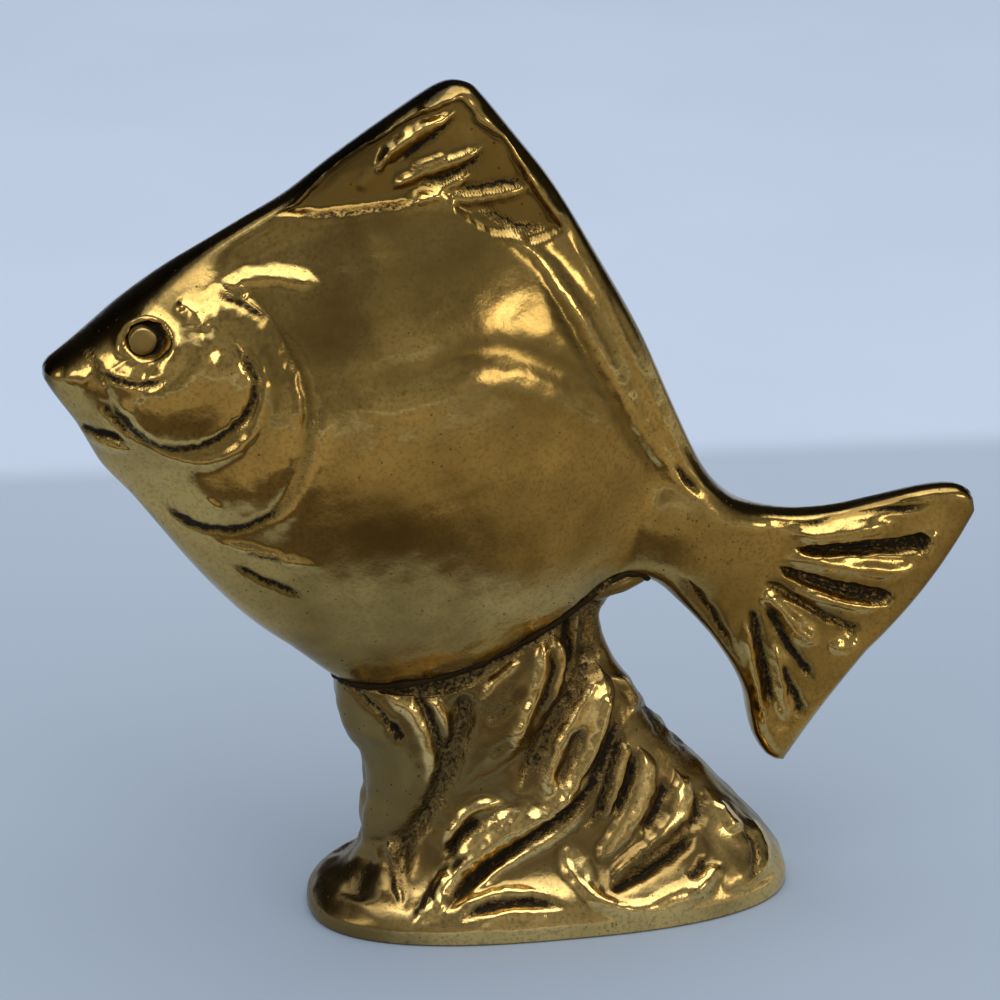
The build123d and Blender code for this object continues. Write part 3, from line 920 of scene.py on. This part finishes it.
standCuts = {
    "bellyShade": stroke(9, -0.5, [(334, 658), (352, 670), (376, 682), (410, 688), (446, 688), (470, 676),
        (500, 658), (530, 640)], dark=0.72, taper=(0.05, 0.3)),
    "leafGroove": stroke(3, -0.4, [(344, 672), (360, 690), (376, 706), (392, 724), (403, 742)],
        dark=0.7),
    "leafSpot": stroke(6, -0.6, [(388, 718), (396, 729), (402, 740)], dark=1, taper=(0.4, 0.1)),
    "leafBand": stroke(6, 0.55, [(372, 690), (396, 700), (414, 716), (427, 742), (431, 772), (424, 804),
        (413, 826)], taper=(0.2, 0.2)),
    "betweenLeaves": stroke(5, -0.8, [(412, 692), (428, 712), (438, 740), (442, 770)], dark=0.75,
        taper=(0.15, 0.25)),
    "smallLeafTop": stroke(4, 0.5, [(426, 698), (438, 706), (448, 724), (448, 746)]),
    "mainCrease": stroke(11, -1.3, [(462, 688), (464, 716), (456, 750), (444, 782), (426, 814),
        (406, 840), (398, 866), (402, 892), (414, 924)], dark=0.62, taper=(0.08, 0.3), edge=1.5),
    "creaseFloor": stroke(4, -0.3, [(456, 700), (450, 742), (436, 778), (420, 812), (402, 842)],
        dark=0.8),
    "hollowLeft": stroke(20, -0.6, [(364, 730), (364, 775), (360, 815)], dark=0.26),
    "hollowFoot": stroke(14, -0.5, [(372, 848), (360, 880), (352, 905)], dark=0.15),
    "footRidgeLeft": stroke(5, 0.8, [(388, 838), (394, 862), (399, 886), (402, 910)],
        taper=(0.15, 0.3)),
    "footFlare": stroke(9, 0.6, [(452, 862), (440, 886), (428, 912), (412, 932)]),
    "humpStreak": stroke(4, 0.35, [(470, 716), (488, 688), (512, 666), (526, 660)]),
    "humpStreakCut": stroke(3, -0.3, [(478, 722), (498, 696), (518, 676)], dark=0.5),
    "humpFold": stroke(4, -0.5, [(514, 700), (498, 712), (486, 722)], dark=0.6),
    "humpFold2": stroke(4, -0.4, [(512, 738), (498, 748), (488, 754)], dark=0.5),
    "ridgeA": stroke(5, 0.9, [(540, 638), (540, 664), (532, 698), (520, 728), (506, 754)],
        taper=(0.1, 0.25)),
    "ridgeCutAB": stroke(3, -0.6, [(550, 642), (551, 670), (543, 698), (534, 722)], dark=0.9),
    "ridgeB": stroke(4.5, 0.6, [(558, 638), (563, 662), (557, 690), (545, 716)], taper=(0.1, 0.25)),
    "centreDark": stroke(11, -1.1, [(590, 640), (584, 668), (566, 700), (548, 730), (532, 764),
        (518, 796)], dark=0.64, taper=(0.1, 0.2), edge=1.5),
    "eyeletLeft": stroke(4.2, 0.7, [(597, 672), (580, 704), (563, 734), (551, 766), (544, 802)],
        taper=(0.1, 0.2)),
    "eyeletRight": stroke(4.2, 0.7, [(606, 690), (601, 724), (590, 756), (572, 786), (552, 816)],
        taper=(0.1, 0.2)),
    "eyeletSlot": stroke(6, -1.1, [(584, 722), (573, 748), (563, 770), (554, 792)], dark=0.55),
    "longCrease": stroke(5, -0.9, [(622, 700), (614, 730), (602, 762), (588, 790), (564, 814), (536, 834),
        (505, 854), (478, 874), (457, 896), (443, 916)], dark=1, taper=(0.15, 0.12)),
    "creaseMate": stroke(5, 0.45, [(590, 800), (566, 828), (536, 848), (506, 866), (478, 888),
        (462, 902)], taper=(0.2, 0.2)),
    "longRidge": stroke(7, 0.5, [(586, 778), (562, 802), (532, 822), (500, 842), (468, 866), (446, 890)],
        taper=(0.2, 0.2)),
    "lowerCut": stroke(4.4, -0.8, [(458, 926), (472, 914), (494, 905), (520, 901), (545, 903),
        (568, 910)], dark=1),
    "lowerRidge": stroke(6, 0.5, [(452, 914), (472, 902), (506, 892), (548, 894)]),
    "lowerRidge2": stroke(5, 0.35, [(470, 930), (494, 917), (524, 913), (556, 916)]),
    "smallLeafCut": stroke(4.2, -0.8, [(488, 818), (466, 830), (452, 846), (442, 862)], dark=1),
    "smallLeafRidge": stroke(5, 0.7, [(508, 803), (478, 806), (460, 820), (448, 838), (440, 852)]),
    "smallLeafRidge2": stroke(7, 0.5, [(520, 806), (508, 826), (484, 846), (462, 866), (446, 886)]),
    "smallLeafFlat": stroke(10, 0.4, [(494, 816), (502, 822)], taper=(0, 0)),
    "fanEdge": stroke(4.4, -0.7, [(628, 720), (616, 752), (606, 786), (598, 812), (580, 832)],
        dark=0.85),
    "fanCut2": stroke(4.2, -0.8, [(634, 748), (631, 772), (624, 796), (612, 820)], dark=0.95),
    "fanCut3": stroke(4.8, -0.9, [(666, 776), (662, 798), (652, 818), (640, 836)], dark=1),
    "fanCut3b": stroke(5, -0.6, [(700, 790), (698, 812), (690, 832)], dark=0.8),
    "fanCut4": stroke(4.6, -1.2, [(696, 834), (674, 854), (646, 872), (611, 890)], dark=1,
        taper=(0.15, 0.06)),
    "fanShade4": stroke(10, -0.4, [(700, 820), (676, 842), (648, 860), (618, 878)], dark=0.5,
        taper=(0.2, 0.2)),
    "fanCut5": stroke(4.2, -0.6, [(708, 857), (698, 870), (687, 881)], dark=0.9),
    "fanRidge5": stroke(6, 0.5, [(716, 862), (702, 884), (688, 898)]),
    "fanTop": stroke(5, -0.5, [(642, 696), (656, 716), (664, 740)], dark=0.8),
    "fanTop2": stroke(5, -0.4, [(662, 700), (676, 724), (684, 752)], dark=0.6),
    "rearGrit": stroke(20, -0.3, [(630, 672), (650, 704), (676, 738), (704, 772)], dark=0.34,
        taper=(0.1, 0.2)),
    "shoulder": stroke(8, 0.5, [(560, 838), (566, 862), (584, 888), (612, 906), (650, 914), (690, 906)],
        taper=(0.2, 0.3)),
    "heelRidge": stroke(5, 0.7, [(714, 800), (724, 818), (738, 834)]),
    "heelRim": stroke(6, 0.4, [(744, 814), (762, 838), (767, 860), (754, 884)]),
    "heelCut": stroke(4, -0.4, [(738, 824), (752, 844), (754, 866), (742, 888)], dark=0.4),
    "neckDark": stroke(12, -0.5, [(590, 600), (586, 625), (590, 650), (602, 668)], dark=0.6,
        taper=(0.05, 0.3)),
    "neckRidge": stroke(4, 0.6, [(580, 604), (575, 632), (574, 662)]),
    "neckCut": stroke(5, -0.8, [(568, 606), (567, 632), (570, 660), (564, 690)], dark=0.95),
    "rearCurl": stroke(4, 0.5, [(606, 676), (624, 684), (634, 700), (628, 722)]),
}

standPockets = {
    "leftLeaf": hollow(24, 0.7, [(334, 664), (352, 676), (374, 688), (398, 702), (416, 722), (428, 748),
        (431, 776), (424, 804), (412, 826), (396, 838), (376, 842), (356, 836), (350, 800), (350, 770),
        (344, 738), (334, 700)], dome=True, shine=0.1),
    "smallLeaf": hollow(9, 0.6, [(418, 700), (436, 702), (450, 722), (449, 744), (440, 752), (433, 738),
        (427, 718)], dome=True, shine=0.3),
    "hump": hollow(26, 1, [(470, 722), (476, 700), (492, 676), (512, 656), (532, 636), (556, 632),
        (568, 652), (568, 678), (558, 706), (542, 732), (524, 752), (502, 768), (478, 780), (460, 792),
        (458, 776), (464, 750)], dome=True, shine=0.12),
    "eyelet": hollow(12, 0.8, [(600, 664), (614, 690), (608, 724), (598, 752), (582, 780), (564, 808),
        (548, 822), (538, 812), (541, 790), (550, 760), (564, 728), (580, 700), (592, 680)], dome=True,
        shine=0.35),
    "longLeaf": hollow(18, 0.7, [(602, 772), (590, 796), (566, 816), (538, 836), (506, 854), (478, 874),
        (456, 896), (440, 918), (432, 896), (440, 866), (456, 842), (474, 824), (496, 812), (522, 802),
        (548, 808), (566, 796), (584, 778)], dome=True, shine=0.4),
    "fanLeafA": hollow(11, 0.7, [(640, 748), (654, 758), (658, 782), (650, 808), (636, 832), (618, 854),
        (600, 862), (596, 850), (606, 830), (620, 806), (630, 780), (634, 760)], dome=True, shine=0.35),
    "fanLeafB": hollow(8, 0.6, [(622, 742), (631, 748), (627, 776), (617, 802), (606, 820), (600, 810),
        (606, 786), (612, 762)], dome=True, shine=0.35),
    "fanLeafC": hollow(11, 0.7, [(676, 770), (692, 782), (696, 808), (682, 830), (656, 852), (632, 872),
        (614, 880), (612, 868), (630, 850), (650, 832), (664, 812), (670, 790)], dome=True, shine=0.35),
    "footField": hollow(12, 0.35, [(566, 842), (592, 858), (606, 892), (640, 900), (680, 880), (716, 862),
        (724, 876), (706, 902), (668, 914), (628, 918), (592, 908), (570, 884), (560, 858)], dome=True,
        shine=0.4),
    "heel": hollow(16, 0.5, [(704, 786), (724, 798), (744, 814), (764, 838), (768, 862), (754, 886),
        (726, 892), (712, 868), (702, 842), (700, 812)], dome=True, shine=0.3),
}


def standPlaces():
    # every level is a superellipse between its left and right ends, and the upper ones sag round one place
    rows = smoothLine(stand["levels"], stand["rowSteps"])
    rows[:, 4] = np.maximum(rows[:, 4], stand["leastDepth"])
    even = evenRows(rows, np.linalg.norm(np.diff(rows, axis=0), axis=1), stand["levelSteps"])
    leftX, leftZ, rightX, rightZ, depth = (column[:, None] for column in even.T)
    angle = np.concatenate([
        np.linspace(0, np.pi, stand["nearSteps"], endpoint=False),
        np.linspace(np.pi, 2 * np.pi, stand["farSteps"], endpoint=False),
    ])
    start, reach = stand["footTop"]
    rise = ease((leftZ - start) / reach)
    power = 2 / (stand["footRoundness"] + (stand["bodyRoundness"] - stand["footRoundness"]) * rise)
    across = np.sign(np.cos(angle)) * np.abs(np.cos(angle)) ** power
    deep = -np.sign(np.sin(angle)) * np.abs(np.sin(angle)) ** power
    share = (1 - across) / 2
    x = rightX + (leftX - rightX) * share
    z = rightZ + (leftZ - rightZ) * share
    sag, middle, width = stand["sag"]
    (low, fadeIn), (high, fadeOut) = stand["sagFrom"], stand["sagTo"]
    dip = ease((leftZ - low) / fadeIn) * ease((high - leftZ) / fadeOut)
    z = z - sag * dip * np.exp(-(((x - middle) / width) ** 2))
    y = depth * deep - stand["footBias"] * (1 - rise) * (x / rows[0, 2]) ** 2
    return gridOf(x, y, z)


def inFish(places):
    # how deep places lie inside the fish, below zero outside: its half thickness less the distance in y
    return fishHalf(places[:, ::2])[0] - np.abs(places[:, 1])


def outwardNormals(grid):
    # normals of closed rings, turned so that on average they point away from each ring's middle
    looped = np.concatenate([grid[:, -1:], grid, grid[:, :1]], 1)
    normal = gridNormals(looped)[:, 1:-1]
    away = grid[..., :2] - grid[..., :2].mean(1, keepdims=True)
    return (normal * np.sign((normal[..., :2] * away).sum(2).mean())).reshape(-1, 3)


def fluteHeight(places, normal):
    # a drawn-out ripple where the surface faces sideways, fading out below the belly
    (least, reach), (top, fade) = flutes["sideways"], flutes["top"]
    share = ease((np.abs(normal[:, 0]) - least) / reach) * ease((top - places[:, 2]) / fade)
    return share * ripple(places * flutes["stretch"], flutes["seed"], flutes["size"])


def standPolish(places, height, lines):
    # full on ridges and on the foot's right part, less in grooves
    x, z = places[:, 0], places[:, 2]
    light, top, fade = standFinish["footLight"]
    start, reach = standFinish["footFrom"]
    less, depth = standFinish["groove"]
    foot = light * ease((top - z) / fade) * ease((x - start) / reach)
    return np.maximum(ease(lines / standFinish["ridge"]), foot) * (1 - less * ease(-height / depth))


def buildStand():
    # carving, ripple and flutes move the levels along their normals; the far side repeats the near side
    grid = standPlaces()
    normal = outwardNormals(grid)
    flat = grid.reshape(-1, 3)
    mirrored = flat.copy()
    mirrored[:, 1] = -np.abs(mirrored[:, 1])
    height, dark, lines = carve(photoPlace(mirrored), standCuts, standPockets)
    fluted = fluteHeight(flat, normal)
    height = height + flutes["depth"] * fluted
    start, reach = stand["foot"]
    keep = ease((flat[:, 2] - start) / reach)
    places = flat + normal * (keep * (height + uneven(flat, stand["lumps"])))[:, None]
    places[:, 1] = np.clip(places[:, 1], cadBox[0][1] * metre, cadBox[1][1] * metre)
    share, least = flutes["soot"]
    dark = np.maximum(dark, share * ease(-fluted - least))
    share, width, low = standFinish["crevice"]
    dark = np.maximum(dark, share * ease(1 + inFish(flat) / width) * (flat[:, 2] > low))
    # the stand has no burnt edge and no painted dark reflection
    pitted, burntAndShade = np.full(len(flat), standFinish["pitted"]), np.zeros(len(flat))
    finish = np.stack([dark * keep, standPolish(flat, height, lines), pitted, burntAndShade], 1)
    faces = turnedFaces(grid)
    piece = addPiece("wave_stand", places, faces, standBrass, finish)
    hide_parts("stand")
    print("stand made:", len(faces), "faces")
    return grid


standGrid = buildStand()

# Brazed joint
bead = {
    "radius": 0.42,
    "lumps": (0.10, 21, 2.2),  # height, seed and size
    "around": 10,
    "softening": 9,  # a place on its line is the mean of this many
}


def beadLine():
    # the place where the stand first enters the fish on every column of its grid, softened along the line
    inside = inFish(standGrid.reshape(-1, 3)).reshape(standGrid.shape[:2])
    rows, columns = inside.shape
    upper = np.arange(rows)[:, None] > rows // 2
    first = np.argmax((inside > 0) & upper, axis=0)
    column = np.arange(columns)
    met = np.flatnonzero(first)
    first = np.rint(np.interp(column, met, first[met])).astype(int)
    before, after = inside[first - 1, column], inside[first, column]
    share = np.clip(-before / np.maximum(after - before, tiny), 0, 1)[:, None]
    line = standGrid[first - 1, column] * (1 - share) + standGrid[first, column] * share
    window = bead["softening"]
    wrapped = np.concatenate([line[-window:], line, line[:window]])
    kernel = np.ones(window) / window
    return np.stack([np.convolve(part, kernel, "same")[window:-window] for part in wrapped.T], 1)


def buildBead():
    # a round section of rippled radius along the bead's closed line
    line = beadLine()
    tangent = np.roll(line, -1, 0) - np.roll(line, 1, 0)
    tangent /= np.linalg.norm(tangent, axis=1, keepdims=True)
    side = np.cross(tangent, [0, 0, 1])
    side /= np.linalg.norm(side, axis=1, keepdims=True)
    up = np.cross(side, tangent)
    angle = fullTurn(bead["around"])[:, None]
    radius = bead["radius"] + uneven(line, [bead["lumps"]])[:, None, None]
    ring = line[:, None] + radius * (np.cos(angle) * side[:, None] + np.sin(angle) * up[:, None])
    ids = gridIds(ring)
    ahead, beside = np.roll(ids, -1, 0), np.roll(ids, -1, 1)
    quads = np.stack([ids, ahead, np.roll(ahead, -1, 1), beside], -1).reshape(-1, 4)
    piece = addPiece("joint_bead", ring.reshape(-1, 3), quads.tolist(), beadFiller)
    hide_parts("braze_seam")
    length = np.linalg.norm(np.diff(line, axis=0), axis=1).sum()
    print("bead made:", len(quads), "faces, length", round(float(length), 1))


buildBead()

# Eyes
eye = {
    "radius": 1.6,
    "top": 6.95,
    "floor": 5.3,
    "rounding": 0.35,
    "dome": 0.12,
    "hole": (0.02, 0.4),  # the first ring's share of the crown's radius, and the last ring's radius in mm
    "uneven": ((0.02, 3, 1), (0.015, 5, 0)),  # height, waves round the disc and shift of its edge
    "around": 64,
    "rings": 10,
}


def buildEye(name, side, replaced):
    # a turned disc: a shallow dome, a quarter-round edge, a straight wall and a flat back
    low, high = (np.array(corner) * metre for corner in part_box(replaced))
    x, z = (low[0] + high[0]) / 2, (low[2] + high[2]) / 2
    full, top, dome, soft = eye["radius"], eye["top"], eye["dome"], eye["rounding"]
    start, last = eye["hole"]
    turn = np.linspace(0, np.pi / 2, eye["rings"])
    inner = np.linspace(start, 1, eye["rings"], endpoint=False) * (full - soft)
    radius = np.concatenate([inner, full - soft * (1 - np.sin(turn)), [full, last]])[:, None]
    crown = top - dome * (inner / full) ** 2
    edge = top - dome - soft * (1 - np.cos(turn))
    height = np.concatenate([crown, edge, [eye["floor"]] * 2])[:, None]
    angle = fullTurn(eye["around"])
    wobble = 1 + sum(rise * np.sin(waves * angle + shift) for rise, waves, shift in eye["uneven"])
    ring = gridOf(x + radius * np.cos(angle) * wobble, side * height, z + radius * np.sin(angle) * wobble)
    faces = turnedFaces(ring)
    if side > 0:
        faces = [face[::-1] for face in faces]
    piece = addPiece(name, ring.reshape(-1, 3), faces, eyeBrass)
    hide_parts(replaced)


buildEye("eye_disc_near", -1, "eye_near")
buildEye("eye_disc_far", 1, "eye_far")
print("eyes made")

# Felt sole and pin
felt = {
    "softEdge": 0.3,
    "thin": 0.98,  # of the CAD pad's thickness, so that no face lies in the brass
    "fuzz": (0.06, 31, 2.0),  # height, seed and size
    "inset": 0.12,
    "rings": 24,
    "around": 160,
}


def buildFelt():
    # an oval pad whose edge is a half round, from the middle of the top round to the middle of the bottom
    low, high = (np.array(corner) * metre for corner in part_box("felt_pad"))
    half, middle = (high - low) / 2, (high + low) / 2
    turn = np.linspace(-np.pi / 2, np.pi / 2, felt["rings"])[:, None]
    angle = fullTurn(felt["around"])
    circle = np.stack([np.cos(angle), np.sin(angle), 0 * angle], 1)
    fuzz = uneven(circle * half[0], [felt["fuzz"]]) - felt["inset"]
    reach = fuzz - felt["softEdge"] * (1 - np.cos(turn))
    x = middle[0] + (half[0] + reach) * np.cos(angle)
    y = middle[1] + (half[1] + reach) * np.sin(angle)
    ring = gridOf(x, y, middle[2] - half[2] * np.sin(turn) * felt["thin"])
    piece = addPiece("felt_sole", ring.reshape(-1, 3), turnedFaces(ring), blackFelt)
    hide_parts("felt_pad")


buildFelt()
pin = frame["nodes"]["dowel_pin"]
pin.data.materials.clear()
pin.data.materials.append(pinBrass)
print("felt made and pin finished")

# Set and light
studio = {
    "paperSize": 3.0,
    "floorColour": (0.365, 0.437, 0.537),
    "floorFarColour": (0.41, 0.485, 0.592),
    "backColour": (0.55, 0.635, 0.775),
    "cloudColour": (0.33, 0.40, 0.50),
    "cloudNoise": (9.0, 3.0),  # scale per metre and detail, and so is foldNoise
    "cloud": (0.3, 0.7, (0.0, 0.10)),
    "floorTurn": 0.03,  # the paper gets paler from this far behind the figurine
    "backFrom": 0.1457,  # and its upright part starts here
    "backSoftness": 0.006,
    "backTurn": 4.1,  # the line between them, in degrees
    "worldColour": (0.80, 0.86, 0.94),
    "worldLight": 0.62,
    "shadeColour": (0.62, 0.55, 0.44),
    "shadeDark": 0.45,
    "foldNoise": (2.0, 2.0),
    "shadeFold": (0.35, 0.65),
    "shadeRadius": 1.5,
    "shadeFrom": 3.0,  # degrees over the table, and so is shadeTo
    "shadeTo": 52.0,
    "shadeRound": 72,
    "shadeUp": 12,
    "backShade": (0.03, 0.026, 0.02),
    "backShadeFrom": (-0.4, 0.3),
    # a dark sheet seen only in reflections, which paints shade into the reflected floor in front of the
    # figurine
    "floorShadeColour": (0.11, 0.088, 0.060),
    "floorShadeFar": (0.36, 0.32, 0.24),
    "floorShadeHeight": 0.0005,
    "floorShadeFrom": -0.045,
    "floorShadeTo": -0.135,
    "floorShadeSoftness": 0.03,
    "floorShadeSlant": 1.0,  # how fast its near edge comes forward to the right
    "floorShadePale": (0.01, 0.05, (1.0, 0.25)),  # it gets paler to the right
    "aim": (0, 0, 0.05),
    "lamps": {
        # place, size, power and tint
        "overhead": ((0.05, -0.05, 1.1), (1.2, 1.2), 8.0, (1.0, 0.97, 0.92)),
        "sideWindow": ((0.74, -0.86, 0.39), (0.46, 0.22), 1.3, (1.0, 0.95, 0.86)),
        "leftFill": ((-0.9, -0.5, 0.5), (0.3, 0.3), 0.7, (1.0, 0.98, 0.95)),
    },
}


def tone(name):
    # a colour of the studio with full cover
    return (*studio[name], 1)


def setPiece(name, places, faces, material, reflected=True):
    # a piece of the set in metres; one that is reflected only is hidden from all other rays
    mesh = bpy.data.meshes.new(name)
    mesh.from_pydata(places, [], faces)
    mesh.materials.append(material)
    made = bpy.data.objects.new(name, mesh)
    bpy.context.scene.collection.objects.link(made)
    if reflected:
        for ray in ("camera", "diffuse", "shadow", "transmission"):
            setattr(made, "visible_" + ray, False)
    return made


def flatSheet(low, high, side, height):
    # the corners of a sheet from low to high in y and from -side to side in x, and its one face
    corners = [(-side, low), (side, low), (side, high), (-side, high)]
    return [(x, y, height) for x, y in corners], [(0, 1, 2, 3)]


def addPaper():
    # one wide flat sheet, paler with distance and from a slightly turned line behind the figurine
    dry = {"Roughness": 0.8, "Specular IOR Level": 0.2}
    material, tree, sockets, place = newMaterial("paperSheet", dry)
    turned, split = node(tree, "Mapping"), node(tree, "SeparateXYZ")
    turned.inputs["Rotation"].default_value = (0, 0, np.radians(studio["backTurn"]))
    feed(tree, turned.inputs["Vector"], place)
    feed(tree, split.inputs[0], turned.outputs[0])
    away, line, soft = split.outputs[1], studio["backFrom"], studio["backSoftness"]
    far = remap(tree, away, studio["floorTurn"], line)
    colour = mixColour(tree, far, tone("floorColour"), tone("floorFarColour"))
    colour = mixColour(tree, remap(tree, away, line - soft, line + soft), colour, tone("backColour"))
    cloud = remap(tree, noise(tree, place, *studio["cloudNoise"]), *studio["cloud"])
    feed(tree, sockets["Base Color"], mixColour(tree, cloud, colour, tone("cloudColour")))
    size = studio["paperSize"]
    sheet = setPiece("paper", *flatSheet(-size, size, size, 0), material, reflected=False)


def addShade():
    # a dark curtain round the studio, seen only in reflections: a band of a sphere between two elevations
    matt = {"Roughness": 1.0, "Specular IOR Level": 0.0}
    material, tree, sockets, place = newMaterial("darkCurtain", matt)
    fold = remap(tree, noise(tree, place, *studio["foldNoise"]), *studio["shadeFold"])
    dark = tuple(studio["shadeDark"] * part for part in studio["shadeColour"])
    colour = mixColour(tree, fold, (*dark, 1), tone("shadeColour"))
    split = node(tree, "SeparateXYZ")
    feed(tree, split.inputs[0], place)
    behind = remap(tree, split.outputs[1], *studio["backShadeFrom"])
    feed(tree, sockets["Base Color"], mixColour(tree, behind, colour, tone("backShade")))
    azimuth = np.radians(np.linspace(0, 360, studio["shadeRound"] + 1))
    degrees = np.linspace(studio["shadeFrom"], studio["shadeTo"], studio["shadeUp"] + 1)
    elevation = np.radians(degrees)[:, None]
    flat = np.cos(elevation)
    grid = studio["shadeRadius"] * gridOf(flat * np.cos(azimuth), flat * np.sin(azimuth), np.sin(elevation))
    faces = sheetFaces(gridIds(grid)).tolist()
    curtain = setPiece("shade", grid.reshape(-1, 3).tolist(), faces, material)


def addFloorShade():
    # the dark sheet in front of the paper, seen only in reflections: painted shade in the reflected floor
    # in front
    matt = {"Roughness": 1.0, "Specular IOR Level": 0.0}
    material, tree, sockets, place = newMaterial("floorShadeSheet", matt)
    split = node(tree, "SeparateXYZ")
    feed(tree, split.inputs[0], place)
    near, far, soft = studio["floorShadeFrom"], studio["floorShadeTo"], studio["floorShadeSoftness"]
    away = remap(tree, split.outputs[1], far - soft, far + soft)
    away = math(tree, "MULTIPLY", away, remap(tree, split.outputs[0], *studio["floorShadePale"]))
    feed(tree, sockets["Base Color"], mixColour(tree, away, tone("floorShadeFar"), tone("floorShadeColour")))
    aslant = math(tree, "MULTIPLY", math(tree, "MAXIMUM", split.outputs[0], 0.0), studio["floorShadeSlant"])
    reach = math(tree, "SUBTRACT", split.outputs[1], aslant)
    feed(tree, sockets["Alpha"], remap(tree, reach, near - soft, near, (1, 0)))
    side = studio["shadeRadius"]
    floorShade = setPiece("floorShade", *flatSheet(-side, side, side, studio["floorShadeHeight"]), material)


def addLamps():
    # every lamp is a rectangle that faces the same place on the figurine
    for name, (place, size, power, tint) in studio["lamps"].items():
        data = bpy.data.lights.new(name, "AREA")
        data.shape = "RECTANGLE"
        data.size, data.size_y = size
        data.energy, data.color = power, tint
        thing = bpy.data.objects.new(name, data)
        bpy.context.scene.collection.objects.link(thing)
        thing.location = place
        aim = Vector(studio["aim"]) - Vector(place)
        thing.rotation_euler = aim.to_track_quat("-Z", "Y").to_euler()


def addWorld():
    # camera, mirror and glass rays see the pale background, other rays the room's soft light
    world = bpy.data.worlds.new("studio")
    bpy.context.scene.world = world
    world.use_nodes = True
    tree = world.node_tree
    ray, level = node(tree, "LightPath").outputs, node(tree, "MapRange")
    seen = math(tree, "MAXIMUM", ray["Is Camera Ray"], ray["Is Glossy Ray"], ray["Is Transmission Ray"])
    feed(tree, level.inputs["Value"], seen)
    level.inputs["To Min"].default_value = studio["worldLight"]
    level.inputs["To Max"].default_value = 1.0
    ground = tree.nodes["Background"].inputs
    ground["Color"].default_value = tone("worldColour")
    feed(tree, ground["Strength"], level.outputs["Result"])


addPaper()
addShade()
addFloorShade()
addLamps()
addWorld()
bpy.context.scene.view_settings.view_transform = "Standard"
print("studio lit")
